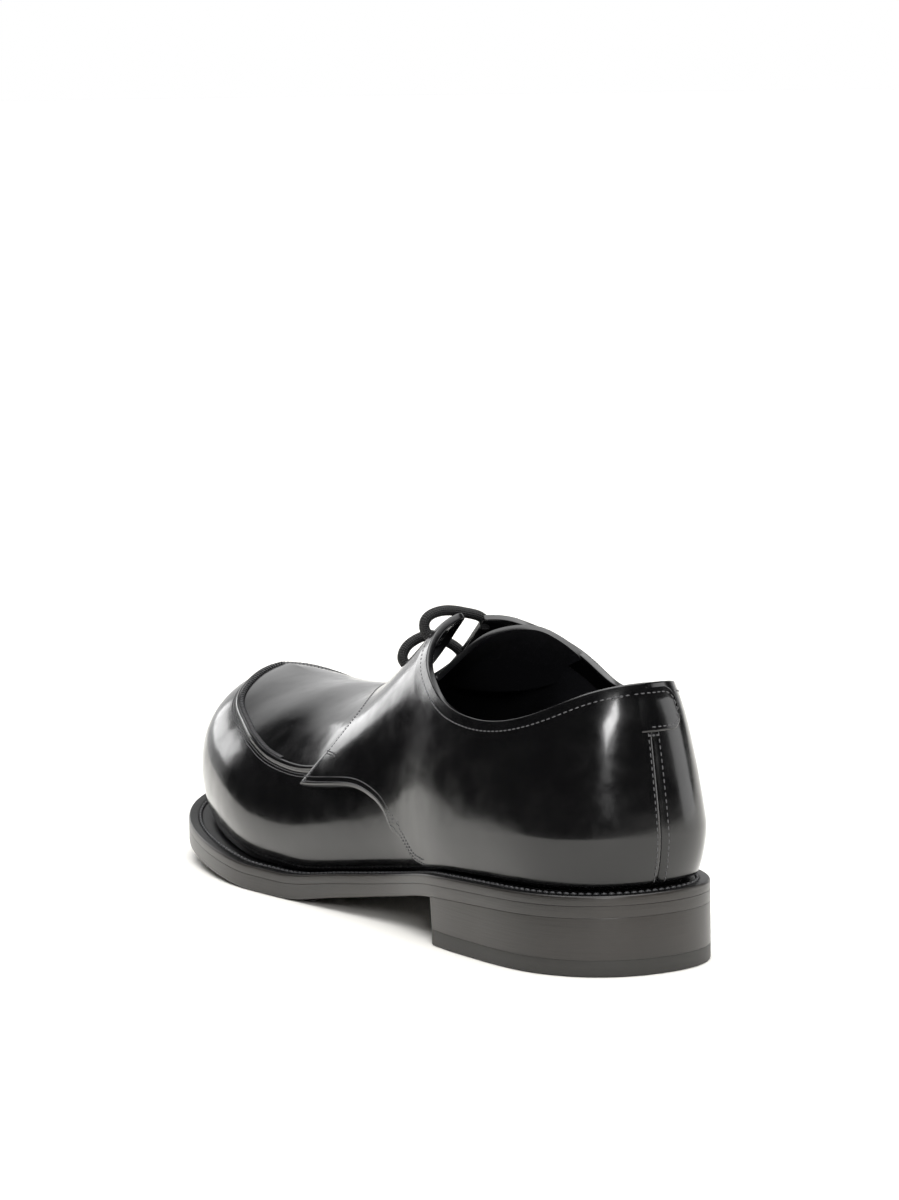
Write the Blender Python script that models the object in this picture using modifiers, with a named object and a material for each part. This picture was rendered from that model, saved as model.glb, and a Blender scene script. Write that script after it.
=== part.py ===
"""A left derby shoe with a round apron toe, a whole-round welt and a block heel.

The shoe stands on its sole with the toe towards -Y, the outer (lateral) side
towards +X and +Z up. The origin is on the floor under the middle of the heel.
Lengths in this file are millimetres and are scaled to metres when a mesh is
made. A station is a distance along the shoe, measured forward from the back
of the sole.
"""

import bpy
import bmesh
import numpy as np

MM = 0.001

# Driving sizes of the sole and its pieces.
SOLE_LENGTH = 303.0
HEEL_CENTRE = 42.0
HEEL_BREAST = 86.0
BREAST_LEAN = 1.2
LIFT_HEIGHT = 6.0
WELT_THICKNESS = 3.6
WELT_REACH_IN = 9.0
INSOLE_THICKNESS = 3.0
GAP = 0.3
EDGE_ROUND = 0.7

# Driving sizes of the leather.
UPPER_WALL = 2.2
QUARTER_WALL = 1.3
QUARTER_LIFT = 0.6
TAB_WALL = 1.2
TONGUE_WALL = 2.4
RIDGE_RADIUS = 1.3
LACE_RADIUS = 2.0
THROAT_HALF_WIDTH = 4.0
THROAT_START = 120.0
THROAT_END = 176.0
QUARTER_FOOT = 0.14

# Sole outline, one row a station: station, lateral edge, medial edge.
SOLE_OUTLINE = (
    (7.6, 20.0, -26.0),
    (26.0, 35.0, -36.5),
    (55.0, 41.2, -38.5),
    (86.0, 42.8, -36.5),
    (116.0, 40.3, -34.0),
    (150.0, 44.3, -41.5),
    (190.0, 51.3, -53.0),
    (220.0, 55.2, -57.0),
    (255.0, 51.6, -52.5),
    (284.0, 40.5, -37.5),
)
SOLE_BACK = (-4.0, 0.8)
TOE_LATERAL = (19.5, 300.5)
TOE_TIP = (-2.0, SOLE_LENGTH)
TOE_MEDIAL = (-21.0, 299.5)

# Underside and thickness of the sole: station, height of underside, thickness with welt.
SOLE_PROFILE = (
    (0.0, 21.0, 8.4),
    (50.0, 19.6, 8.4),
    (85.0, 17.6, 8.4),
    (120.0, 11.5, 8.5),
    (155.0, 5.3, 9.2),
    (190.0, 0.0, 9.9),
    (209.0, 0.0, 9.9),
    (228.0, 1.4, 9.9),
    (265.0, 5.0, 9.9),
    (303.0, 13.0, 9.9),
)

# The last, one row a station: station, inset of the widest line from the sole's
# edge on the lateral and medial side, inset of the feather from the widest line,
# height of the widest line over the feather, squareness of the section, and
# sideways shift of the crest.
LAST_SECTIONS = (
    (0.8, 2.9, 2.9, 3.9, 19.0, 1.50, 0.5),
    (45.0, 3.4, 3.1, 4.0, 19.0, 1.55, 0.1),
    (90.0, 2.2, 0.5, 4.5, 17.0, 1.68, -3.7),
    (125.0, 1.0, -1.0, 5.5, 16.0, 1.75, -6.2),
    (160.0, 0.6, -0.2, 5.5, 16.0, 1.79, -6.2),
    (200.0, 2.0, 2.0, 5.0, 16.0, 1.90, -5.2),
    (240.0, 4.2, 4.0, 4.5, 17.8, 2.32, -3.4),
    (275.0, 5.7, 5.0, 4.5, 19.5, 2.85, -1.3),
    (303.0, 5.7, 5.7, 4.5, 19.8, 2.90, 0.0),
)

# Crest of the last: station, height. Behind the throat it is the ankle that the
# topline cuts through.
LAST_CREST = (
    (38.0, 146.0),
    (70.0, 144.5),
    (105.0, 132.5),
    (135.0, 110.0),
    (165.0, 88.3),
    (185.0, 78.7),
    (205.0, 72.8),
    (225.0, 71.8),
    (245.0, 71.0),
    (262.0, 72.6),
    (300.0, 78.0),
)

# Where a rib that leaves the feather at a share of the way from back to toe
# reaches the crest: share, station of the crest.
RIB_FAN = (
    (0.0, 38.0),
    (0.10, 50.0),
    (0.24, 66.0),
    (0.36, 100.0),
    (0.50, 150.0),
    (0.69, 211.5),
    (0.86, 243.0),
    (1.0, 267.0),
)

# Topline of each side up to the facing's corner: station, height.
TOPLINE_LATERAL = (
    (8.0, 103.0),
    (16.0, 100.5),
    (30.0, 93.5),
    (46.0, 87.0),
    (63.0, 84.0),
    (80.0, 84.5),
    (95.0, 87.0),
    (110.0, 92.0),
    (120.0, 96.5),
    (128.0, 102.5),
    (137.0, 112.0),
    (150.0, 128.0),
)
TOPLINE_MEDIAL = (
    (8.0, 103.0),
    (16.0, 101.5),
    (35.0, 96.0),
    (55.0, 91.5),
    (73.0, 92.0),
    (89.0, 99.5),
    (110.0, 106.0),
    (128.0, 109.0),
    (137.0, 111.5),
    (150.0, 118.0),
)
FACING_END = 183.0

# Lower seam of a quarter from the sole to its tip: station, height.
QUARTER_LEAVES_SOLE = 84.0
QUARTER_SEAM = (
    (94.0, 33.0),
    (108.0, 41.0),
    (124.0, 47.0),
    (141.0, 50.0),
    (160.0, 48.0),
    (178.0, 46.0),
)

# Apron ridge on each side, from the quarter to the front: station, height.
APRON_SIDE = (
    (184.0, 49.5),
    (205.0, 53.0),
    (228.0, 57.0),
    (250.0, 61.0),
    (268.0, 66.0),
)
APRON_FRONT = (283.0, 71.5)

# Tongue, one row a station: station, centre, height, half width, drop at the edge.
TONGUE_ROWS = (
    (172.0, -5.5, 81.0, 13.0, 3.0),
    (160.0, -5.0, 88.0, 16.5, 6.0),
    (148.0, -4.5, 96.2, 19.0, 10.5),
    (137.0, -3.5, 102.8, 20.0, 15.5),
    (127.0, -3.0, 106.0, 20.5, 17.5),
    (119.0, -3.5, 108.5, 18.5, 13.5),
    (114.0, -4.5, 109.3, 12.0, 5.0),
)

# Lace crossings: station, and height of the arch over the facings.
LACE_CROSSINGS = (
    (140.0, 8.5),
    (157.0, 8.0),
)
EYELET_FROM_EDGE = 9.0

# Ribs of the upper, closer together round the facing's corner: rib, share.
RIB_SPACING = (
    (0.0, 0.0),
    (18.0, 0.39),
    (28.0, 0.52),
    (44.0, 1.0),
)
SOLE_RIBS = 36
LOW_ROWS = 3
HIGH_ROWS = 11


def smooth_curve(knots, values):
    """Natural cubic through the values at the knots."""
    t = np.asarray(knots, float)
    v = np.asarray(values, float)
    step = np.diff(t)
    slope = np.diff(v, axis=0) / (step[:, None] if v.ndim == 2 else step)
    count = len(t)
    matrix = np.eye(count)
    right = np.zeros_like(v)
    for i in range(1, count - 1):
        matrix[i, i - 1:i + 2] = step[i - 1], 2 * (step[i - 1] + step[i]), step[i]
        right[i] = 6 * (slope[i] - slope[i - 1])
    bend = np.linalg.solve(matrix, right)

    def curve(at):
        at = np.asarray(at, float)
        i = np.clip(np.searchsorted(t, at, side="right") - 1, 0, count - 2)
        d = at - t[i]
        h = step[i]
        if v.ndim == 2:
            d = d[..., None]
            h = h[..., None]
        value = v[i] + d * (slope[i] - h * (2 * bend[i] + bend[i + 1]) / 6)
        return value + d ** 2 * bend[i] / 2 + d ** 3 * (bend[i + 1] - bend[i]) / (6 * h)

    return curve


def level_curve(knots, values):
    """Cubic through the values that never swings past them."""
    t = np.asarray(knots, float)
    v = np.asarray(values, float)
    step = np.diff(t)
    slope = np.diff(v) / step
    lean = np.zeros(len(t))
    for i in range(1, len(t) - 1):
        if slope[i - 1] * slope[i] > 0:
            before = 2 * step[i] + step[i - 1]
            after = step[i] + 2 * step[i - 1]
            lean[i] = (before + after) / (before / slope[i - 1] + after / slope[i])
    lean[0] = slope[0]
    lean[-1] = slope[-1]

    def curve(at):
        at = np.asarray(at, float)
        i = np.clip(np.searchsorted(t, at, side="right") - 1, 0, len(t) - 2)
        h = step[i]
        d = (at - t[i]) / h
        value = (2 * d ** 3 - 3 * d ** 2 + 1) * v[i] + (d ** 3 - 2 * d ** 2 + d) * h * lean[i]
        return value + (3 * d ** 2 - 2 * d ** 3) * v[i + 1] + (d ** 3 - d ** 2) * h * lean[i + 1]

    return curve


def column(table, index):
    """Smooth curve of one column of a table over its first column."""
    rows = np.array(table)
    return smooth_curve(rows[:, 0], rows[:, index])


def sole_outline_curve():
    """The outline as one smooth closed curve, with the lengths at the toe and in all."""
    lateral = [(row[1], row[0]) for row in SOLE_OUTLINE]
    medial = [(row[2], row[0]) for row in reversed(SOLE_OUTLINE)]
    loop = [SOLE_BACK] + lateral + [TOE_LATERAL, TOE_TIP, TOE_MEDIAL] + medial
    wrap = 4
    points = np.array(loop[-wrap:] + loop + loop[:wrap + 1])
    length = np.r_[0, np.cumsum(np.hypot(*np.diff(points, axis=0).T))]
    length -= length[wrap]
    toe = length[wrap + len(lateral) + 2]
    return smooth_curve(length, points), toe, length[wrap + len(loop)]


OUTLINE, TOE_AT, OUTLINE_LENGTH = sole_outline_curve()
SOLE_UNDER = level_curve([r[0] for r in SOLE_PROFILE], [r[1] for r in SOLE_PROFILE])
SOLE_THICK = level_curve([r[0] for r in SOLE_PROFILE], [r[2] for r in SOLE_PROFILE])
WIDE_INSET = {1: column(LAST_SECTIONS, 1), -1: column(LAST_SECTIONS, 2)}
FEATHER_INSET = column(LAST_SECTIONS, 3)
WIDE_HEIGHT = column(LAST_SECTIONS, 4)
SQUARENESS = column(LAST_SECTIONS, 5)
CREST_SHIFT = column(LAST_SECTIONS, 6)
CREST_HEIGHT = column(LAST_CREST, 1)
CREST_STATION = column(RIB_FAN, 1)
TOPLINE = {1: column(TOPLINE_LATERAL, 1), -1: column(TOPLINE_MEDIAL, 1)}


def sole_top(station):
    """Height of the welt's top face."""
    at = np.clip(station, 0.0, SOLE_LENGTH)
    return SOLE_UNDER(at) + SOLE_THICK(at)


def plan_edge(side, share):
    """Sole edge and its outward direction at a share of the way from back to toe."""
    share = np.asarray(share, float)
    if side > 0:
        at = TOE_AT * share
    else:
        at = OUTLINE_LENGTH - (OUTLINE_LENGTH - TOE_AT) * share
    small = 0.05
    ahead = OUTLINE(at + small) - OUTLINE(at - small)
    ahead /= np.linalg.norm(ahead, axis=-1, keepdims=True)
    outward = np.stack([ahead[..., 1], -ahead[..., 0]], -1)
    return OUTLINE(at), outward


def plan_inset(side, share, inset):
    """Plan point a distance inside the sole's edge."""
    edge, outward = plan_edge(side, share)
    return edge - outward * np.asarray(inset)[..., None]


def share_at(side, station):
    """Share of the way round at which the sole's edge reaches a station."""
    low, high = 0.0, 1.0
    for _ in range(40):
        middle = (low + high) / 2
        if plan_edge(side, middle)[0][1] < station:
            low = middle
        else:
            high = middle
    return low


def share_of_crest(station):
    """Share of the rib that reaches the crest at a station."""
    shares = np.linspace(0.0, 1.0, 400)
    return float(np.interp(station, CREST_STATION(shares), shares))


def widest_line(side, share):
    """Plan points of the last's widest line and of its feather."""
    edge, outward = plan_edge(side, share)
    station = edge[..., 1]
    wide = edge - outward * WIDE_INSET[side](station)[..., None]
    feather = wide - outward * FEATHER_INSET(station)[..., None]
    return wide, feather, station


def crest_point(share):
    """Plan point of the crest that a pair of ribs meets in."""
    lateral = widest_line(1, share)[0]
    medial = widest_line(-1, share)[0]
    return np.stack([(lateral[..., 0] + medial[..., 0]) / 2, CREST_STATION(share)], -1)


def last_point(side, share, rise):
    """Point of the last: rise 0 at the feather, 1 at the widest line, 2 at the crest."""
    share, rise = np.broadcast_arrays(np.asarray(share, float), np.asarray(rise, float))
    wide, feather, station = widest_line(side, share)
    base = sole_top(station) + GAP
    wide_height = base + WIDE_HEIGHT(station)
    crest = crest_point(share)
    low = np.clip(rise, 0.0, 1.0)
    angle = np.clip(rise - 1.0, 0.0, 1.0) * np.pi / 2
    square = SQUARENESS(crest[..., 1])
    across = np.cos(angle) ** np.minimum(1.0, 2 / square)
    upward = np.sin(angle) ** np.where(square < 2, (2 / square) ** 2, 2 / square)
    under = wide - (wide - feather) * ((1 - low) ** 2)[..., None]
    over = crest + (wide - crest) * across[..., None]
    plan = np.where((rise < 1)[..., None], under, over)
    tall = wide_height + (CREST_HEIGHT(over[..., 1]) - wide_height) * upward
    height = np.where(rise < 1, base + (wide_height - base) * low, tall)
    shift = CREST_SHIFT(crest[..., 1]) * np.sin(angle) ** 2
    return np.stack([plan[..., 0] + shift, plan[..., 1], height], -1)


def surface_point(side, share, rise, lift):
    """Point at a distance outside the last, along its normal."""
    small = 0.002
    share, rise = np.broadcast_arrays(np.asarray(share, float), np.asarray(rise, float))
    along = (last_point(side, np.minimum(share + small, 1.0), rise)
             - last_point(side, np.maximum(share - small, 0.0), rise))
    up = (last_point(side, share, np.minimum(rise + small, 2.0))
          - last_point(side, share, np.maximum(rise - small, 0.0)))
    normal = np.cross(along, up) * side
    normal /= np.linalg.norm(normal, axis=-1, keepdims=True)
    return last_point(side, share, rise) + normal * np.asarray(lift)[..., None]


def rise_where(side, share, over):
    """Rise at which a rib passes a test, which is false low down and true high up."""
    share = np.asarray(share, float)
    low = np.full(share.shape, 1.0)
    high = np.full(share.shape, 2.0)
    for _ in range(30):
        middle = (low + high) / 2
        above = over(last_point(side, share, middle))
        high = np.where(above, middle, high)
        low = np.where(above, low, middle)
    return low


def rise_at_height(side, share, height):
    """Rise at which a rib reaches a height, over or under the widest line."""
    base = last_point(side, share, 0.0)[..., 2]
    wide = last_point(side, share, 1.0)[..., 2]
    low = (height - base) / (wide - base)
    high = rise_where(side, share, lambda point: point[..., 2] > height)
    return np.where(height < wide, low, high)


def locate(side, station, height):
    """Share and rise of the surface point with a station and height."""
    low, high = 0.0, 1.0
    for _ in range(30):
        share = (low + high) / 2
        rise = rise_at_height(side, share, height)
        if last_point(side, share, rise)[1] < station:
            low = share
        else:
            high = share
    return share, float(rise)


def facing_edge(side, share):
    """Rise of the quarter's upper edge: the topline, then the edge of its facing."""
    share = np.asarray(share, float)
    topline = rise_where(side, share, lambda p: p[..., 2] > TOPLINE[side](p[..., 1]))
    middle = last_point(side, share, 2.0)
    throat = rise_where(
        side, share, lambda p: abs(p[..., 0] - middle[..., 0]) < THROAT_HALF_WIDTH)
    return np.where(middle[..., 1] > THROAT_START, np.minimum(topline, throat), topline)


def top_edge(side, share):
    """Rise of the upper's own edge, 2 where the vamp is closed."""
    edge = facing_edge(side, share)
    return np.where(crest_point(share)[..., 1] < THROAT_END, edge, 2.0)


def to_metres(points):
    """Millimetres by station to the object's own frame in metres."""
    points = np.asarray(points, float)
    return np.stack(
        [points[..., 0], HEEL_CENTRE - points[..., 1], points[..., 2]], -1) * MM


def material(name, color, roughness):
    """Plain glossy leather or rubber material."""
    made = bpy.data.materials.new(name)
    made.use_nodes = True
    shader = made.node_tree.nodes["Principled BSDF"]
    shader.inputs["Base Color"].default_value = (*color, 1.0)
    shader.inputs["Roughness"].default_value = roughness
    shader.inputs["Metallic"].default_value = 0.0
    return made


def add_object(name, mesh, look):
    """Object in the shoe's collection with one material, shaded smooth."""
    thing = bpy.data.objects.new(name, mesh)
    bpy.data.collections["derby_shoe"].objects.link(thing)
    mesh.materials.append(look)
    mesh.shade_smooth()
    mesh.set_sharp_from_angle(angle=np.radians(40))
    return thing


def grid_mesh(name, rows, closed=False):
    """Mesh of quads over a grid of points, with meeting points welded."""
    rows = np.asarray(rows)
    count, width = rows.shape[:2]
    shape = bmesh.new()
    verts = [[shape.verts.new(p) for p in row] for row in to_metres(rows)]
    last_row = count if closed else count - 1
    for i in range(last_row):
        for j in range(width - 1):
            here, ahead = verts[i], verts[(i + 1) % count]
            shape.faces.new((here[j], here[j + 1], ahead[j + 1], ahead[j]))
    bmesh.ops.remove_doubles(shape, verts=shape.verts, dist=0.00002)
    bmesh.ops.dissolve_degenerate(shape, edges=shape.edges, dist=0.00001)
    mesh = bpy.data.meshes.new(name)
    shape.to_mesh(mesh)
    shape.free()
    return mesh


def sheet(name, rows, thickness, look, closed=False, outward=True):
    """Leather sheet: an open surface that Solidify gives its thickness."""
    thing = add_object(name, grid_mesh(name, rows, closed), look)
    solid = thing.modifiers.new("thickness", "SOLIDIFY")
    solid.thickness = thickness * MM
    solid.offset = 1.0 if outward else -1.0
    solid.use_even_offset = False
    triangles = thing.modifiers.new("flat faces", "TRIANGULATE")
    triangles.quad_method = "SHORTEST_DIAGONAL"
    return thing


def loft(name, rings, look, hollow=False, rounding=0.0):
    """Body between stacked rings; each ring runs out one side and back the other."""
    shape = bmesh.new()
    stack = [[shape.verts.new(p) for p in ring] for ring in to_metres(rings)]
    count = len(stack[0])
    pairs = list(zip(stack, stack[1:] + stack[:1])) if hollow else list(zip(stack, stack[1:]))
    for below, above in pairs:
        for i in range(count):
            j = (i + 1) % count
            shape.faces.new((below[i], above[i], above[j], below[j]))
    if not hollow:
        for ring in (stack[0], stack[-1]):
            low, high = 1, count - 1
            shape.faces.new((ring[0], ring[low], ring[high]))
            while high - low > 2:
                shape.faces.new((ring[low], ring[low + 1], ring[high - 1], ring[high]))
                low += 1
                high -= 1
            if high - low == 2:
                shape.faces.new((ring[low], ring[low + 1], ring[high]))
    bmesh.ops.recalc_face_normals(shape, faces=shape.faces)
    mesh = bpy.data.meshes.new(name)
    shape.to_mesh(mesh)
    shape.free()
    thing = add_object(name, mesh, look)
    if rounding:
        bevel = thing.modifiers.new("rounded edges", "BEVEL")
        bevel.width = rounding * MM
        bevel.segments = 1
        bevel.limit_method = "ANGLE"
        bevel.angle_limit = np.radians(50)
    return thing


def ring_plan(inset, ribs=SOLE_RIBS):
    """Plan points of a ring inside the sole's edge, out along one side and back."""
    shares = np.linspace(0.0, 1.0, ribs + 1)
    lateral = plan_inset(1, shares, np.broadcast_to(inset(1, shares), shares.shape))
    medial = plan_inset(-1, shares, np.broadcast_to(inset(-1, shares), shares.shape))
    return np.concatenate([lateral, medial[-2:0:-1]])


def raised(plan, height):
    """Ring at a height worked out from each point's station."""
    return np.c_[plan, height(np.clip(plan[:, 1], 0.0, SOLE_LENGTH))]


def outsole_top(station):
    """Top face of the outsole, under the welt."""
    return sole_top(station) - WELT_THICKNESS - GAP


def feather_depth(side, share):
    """Distance of the feather inside the sole's edge."""
    station = plan_edge(side, share)[0][..., 1]
    return WIDE_INSET[side](station) + FEATHER_INSET(station)


def make_outsole(look):
    plan = ring_plan(lambda side, share: 0.0)
    rings = [raised(plan, SOLE_UNDER), raised(plan, outsole_top)]
    loft("outsole", rings, look, rounding=EDGE_ROUND)


def make_welt(look):
    outer = ring_plan(lambda side, share: 0.0)
    inner = ring_plan(lambda side, share: feather_depth(side, share) + WELT_REACH_IN)
    rings = [
        raised(outer, lambda s: outsole_top(s) + GAP),
        raised(outer, sole_top),
        raised(inner, sole_top),
        raised(inner, lambda s: outsole_top(s) + GAP),
    ]
    loft("welt", rings, look, hollow=True)


def make_insole(look):
    """Insole inside the upper's wall, with a raised middle underneath that fills the welt."""
    plug = ring_plan(lambda side, share: feather_depth(side, share) + WELT_REACH_IN + GAP)
    plate = ring_plan(lambda side, share: feather_depth(side, share) + UPPER_WALL + 1.0)
    rings = [
        raised(plug, lambda s: outsole_top(s) + GAP),
        raised(plug, lambda s: sole_top(s) + GAP),
        raised(plate, lambda s: sole_top(s) + GAP),
        raised(plate, lambda s: sole_top(s) + GAP + INSOLE_THICKNESS),
    ]
    loft("insole", rings, look)


def heel_ring(height_of, lean):
    """Ring of the heel: the sole's own edge back from the breast."""
    steps = np.linspace(0.0, 1.0, 15)
    lateral = plan_edge(1, steps * share_at(1, HEEL_BREAST - lean))[0]
    medial = plan_edge(-1, steps * share_at(-1, HEEL_BREAST - lean))[0]
    plan = np.concatenate([lateral, medial[:0:-1]])
    return np.c_[plan, height_of(np.clip(plan[:, 1], 0.0, SOLE_LENGTH))]


def make_heel(stack_look, lift_look):
    stack = [
        heel_ring(lambda s: np.full_like(s, LIFT_HEIGHT + GAP), BREAST_LEAN),
        heel_ring(lambda s: SOLE_UNDER(s) - GAP, 0.0),
    ]
    loft("heel_stack", stack, stack_look, rounding=EDGE_ROUND / 2)
    lift = [
        heel_ring(lambda s: np.zeros_like(s), BREAST_LEAN),
        heel_ring(lambda s: np.full_like(s, LIFT_HEIGHT), BREAST_LEAN),
    ]
    loft("top_lift", lift, lift_look, rounding=EDGE_ROUND / 2)


def make_upper(look):
    """Vamp and linings in one wall, open at the collar, the throat and underneath."""
    count = int(RIB_SPACING[-1][0])
    shares = level_curve(*np.array(RIB_SPACING).T)(np.arange(count + 1))
    strips = []
    for side, order in ((1, shares), (-1, shares[-2:0:-1])):
        top = top_edge(side, order)
        low = np.linspace(0.0, 1.0, LOW_ROWS + 1)[:-1]
        high = np.linspace(0.0, 1.0, HIGH_ROWS + 1)
        for share, rise_top in zip(order, top):
            rises = np.r_[low, 1.0 + (rise_top - 1.0) * high]
            strips.append(last_point(side, share, rises))
    sheet("upper", strips, UPPER_WALL, look, closed=True, outward=False)


def edge_length(side, shares, rises):
    """Running length of an edge over the last."""
    steps = np.diff(last_point(side, shares, rises), axis=0)
    return np.r_[0.0, np.cumsum(np.linalg.norm(steps, axis=1))]


def quarter_low_rise(side):
    """End share of a quarter's lower edge, and its rise at any share."""
    seam = [locate(side, station, height) for station, height in QUARTER_SEAM]
    start = share_at(side, QUARTER_LEAVES_SOLE)
    curve = level_curve([start] + [spot[0] for spot in seam],
                        [QUARTER_FOOT] + [spot[1] for spot in seam])
    return seam[-1][0], lambda share: np.where(share < start, QUARTER_FOOT, curve(share))


def quarter_grid(side, lift, columns=29, rows=11):
    """Grid of a quarter over the last, closer where its edges are steep."""
    low_end, low_rise = quarter_low_rise(side)
    high_end = share_of_crest(FACING_END)
    fine = np.linspace(0.0, 1.0, 400)
    length = edge_length(side, fine * low_end, low_rise(fine * low_end))
    length += edge_length(side, fine * high_end, facing_edge(side, fine * high_end))
    along = np.interp(np.linspace(0.0, length[-1], columns), length, fine)
    low = low_rise(along * low_end)
    high = facing_edge(side, along * high_end)
    mix = np.linspace(0.0, 1.0, rows)
    strips = []
    for i in range(columns):
        share = along[i] * (low_end + (high_end - low_end) * mix)
        rise = low[i] + (high[i] - low[i]) * mix
        strips.append(surface_point(side, share, rise, np.full(rows, lift)))
    return strips


def make_quarter(name, side, look):
    strips = quarter_grid(side, QUARTER_LIFT)
    trim = 0.25 / SOLE_LENGTH
    strips[0] = surface_point(side, trim, np.linspace(
        QUARTER_FOOT, float(facing_edge(side, trim)), len(strips[0])),
        np.full(len(strips[0]), QUARTER_LIFT))
    if side < 0:
        strips = strips[::-1]
    sheet(name, strips, QUARTER_WALL, look)


def make_heel_tab(look):
    """Strap at the topline, from the lateral quarter over the back seam."""
    lift = QUARTER_LIFT + QUARTER_WALL + GAP
    reach = 14.0
    height = 17.0
    strips = []
    for along in np.linspace(-1.0, 1.0, 9):
        side = 1 if along >= 0 else -1
        share = abs(along) * reach / TOE_AT
        top = float(facing_edge(side, share))
        end_round = 1.0 - 0.35 * max(0.0, abs(along) - 0.6) / 0.4
        middle = last_point(side, share, top)[2] - height / 2
        low = float(rise_at_height(side, share, middle - height / 2 * end_round))
        strips.append(surface_point(side, share, np.linspace(low, top, 5), np.full(5, lift)))
    sheet("heel_tab", strips, TAB_WALL, look)


def tube(name, points, radius, look):
    """Round cord or bead along a curve."""
    data = bpy.data.curves.new(name, "CURVE")
    data.dimensions = "3D"
    data.bevel_depth = radius * MM
    data.bevel_resolution = 2
    data.use_fill_caps = True
    line = data.splines.new("POLY")
    line.points.add(len(points) - 1)
    for spot, place in zip(line.points, to_metres(points)):
        spot.co = (*place, 1.0)
    thing = bpy.data.objects.new(name, data)
    bpy.data.collections["derby_shoe"].objects.link(thing)
    data.materials.append(look)
    return thing


def make_apron_ridge(look):
    """Raised bead round the apron, lying on the vamp."""
    lift = RIDGE_RADIUS + GAP
    route = []
    for side in (1, -1):
        spots = [locate(side, station, height) for station, height in APRON_SIDE]
        middle = locate(side, *APRON_FRONT)
        spots.append((1.0, middle[1]))
        share = [spot[0] for spot in spots]
        curve = smooth_curve(share, [spot[1] for spot in spots])
        steps = np.linspace(share[0], 1.0, 23)
        line = surface_point(side, steps, curve(steps), np.full(len(steps), lift))
        route.append(line)
    front = (route[0][-1] + route[1][-1]) / 2
    points = np.concatenate([route[0][:-1], front[None], route[1][-2::-1]])
    tube("apron_ridge", points, RIDGE_RADIUS, look)


def make_tongue(look):
    table = np.array(TONGUE_ROWS)
    stations = np.linspace(table[0, 0], table[-1, 0], 12)
    order = table[::-1]
    parts = [smooth_curve(order[:, 0], order[:, k])(stations) for k in range(1, 5)]
    strips = []
    for station, centre, height, half, drop in zip(stations, *parts):
        across = np.linspace(-1.0, 1.0, 11)
        strips.append(np.stack([
            centre + across * half,
            np.full(11, station),
            height - drop * across ** 2], -1))
    sheet("tongue", strips, TONGUE_WALL, look, outward=False)


def make_laces(look):
    """Two arched crossings from facing to facing."""
    for index, (station, arch) in enumerate(LACE_CROSSINGS, start=1):
        share = share_of_crest(station)
        feet = []
        for side in (1, -1):
            middle = last_point(side, share, 2.0)[0]
            rise = float(rise_where(
                side, share, lambda p: abs(p[..., 0] - middle) < EYELET_FROM_EDGE))
            feet.append(surface_point(side, share, rise, np.array(
                QUARTER_LIFT + QUARTER_WALL + LACE_RADIUS + GAP)))
        turn = np.linspace(0.0, 1.0, 15)
        points = feet[0] + (feet[1] - feet[0]) * turn[:, None]
        points[:, 2] += arch * np.sin(turn * np.pi) ** 0.7
        tube(f"lace_crossing_{index}", points, LACE_RADIUS, look)


def main():
    for thing in list(bpy.data.objects):
        bpy.data.objects.remove(thing)
    shoe = bpy.data.collections.new("derby_shoe")
    bpy.context.scene.collection.children.link(shoe)
    leather = material("black polished leather", (0.012, 0.012, 0.013), 0.18)
    lining = material("black lining leather", (0.018, 0.018, 0.019), 0.55)
    edge = material("black sole leather", (0.03, 0.028, 0.027), 0.45)
    rubber = material("black heel rubber", (0.02, 0.02, 0.02), 0.6)
    lace = material("black waxed lace", (0.02, 0.02, 0.021), 0.6)
    make_outsole(edge)
    make_heel(edge, rubber)
    make_welt(edge)
    make_insole(lining)
    make_upper(leather)
    make_quarter("quarter_lateral", 1, leather)
    make_quarter("quarter_medial", -1, leather)
    make_heel_tab(leather)
    make_apron_ridge(leather)
    make_tongue(lining)
    make_laces(lace)


main()
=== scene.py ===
"""A black polished derby shoe standing on a pale floor, seen from behind and to the side.

The surface of the last is worked out as in the solid model, in millimetres by
station: a station is a distance along the shoe, forward from the back of the
sole. Its crest, the quarters' edges and the apron's line lie a few millimetres
off the solid ones. Points turn into metres of the shared frame when a mesh is
made.
"""

import bpy
import bmesh
import math
import numpy as np
from mathutils import Matrix, Vector


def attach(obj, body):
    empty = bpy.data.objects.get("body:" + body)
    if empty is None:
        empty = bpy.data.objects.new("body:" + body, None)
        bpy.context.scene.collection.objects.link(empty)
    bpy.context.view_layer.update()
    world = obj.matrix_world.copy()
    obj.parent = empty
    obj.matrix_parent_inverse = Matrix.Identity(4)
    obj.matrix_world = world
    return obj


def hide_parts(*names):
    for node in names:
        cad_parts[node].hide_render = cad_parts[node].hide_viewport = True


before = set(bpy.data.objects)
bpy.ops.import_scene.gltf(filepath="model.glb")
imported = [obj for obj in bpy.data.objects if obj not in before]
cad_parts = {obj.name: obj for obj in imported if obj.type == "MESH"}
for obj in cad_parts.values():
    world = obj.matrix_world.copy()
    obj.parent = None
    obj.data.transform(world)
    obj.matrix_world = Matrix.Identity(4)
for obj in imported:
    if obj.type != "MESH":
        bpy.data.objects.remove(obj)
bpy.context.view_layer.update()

MM = 0.001
WELD_WITHIN = 0.004

# Driving sizes of the sole and its pieces.
SOLE_LENGTH = 303.0
HEEL_CENTRE = 42.0
HEEL_BREAST = 86.0
BREAST_LEAN = 1.2
LIFT_HEIGHT = 6.0
WELT_THICKNESS = 3.6
GAP = 0.3

# Driving sizes of the leather.
UPPER_WALL = 1.5
TONGUE_WALL = 2.0
TONGUE_ROUND = 0.6
THROAT_HALF_WIDTH = 4.0
THROAT_START = 120.0
THROAT_END = 176.0
QUARTER_FOOT = 0.14

# Rise just short of the crest, where the surface of one side still has a normal.
NEAR_CREST = 1.999

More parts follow.
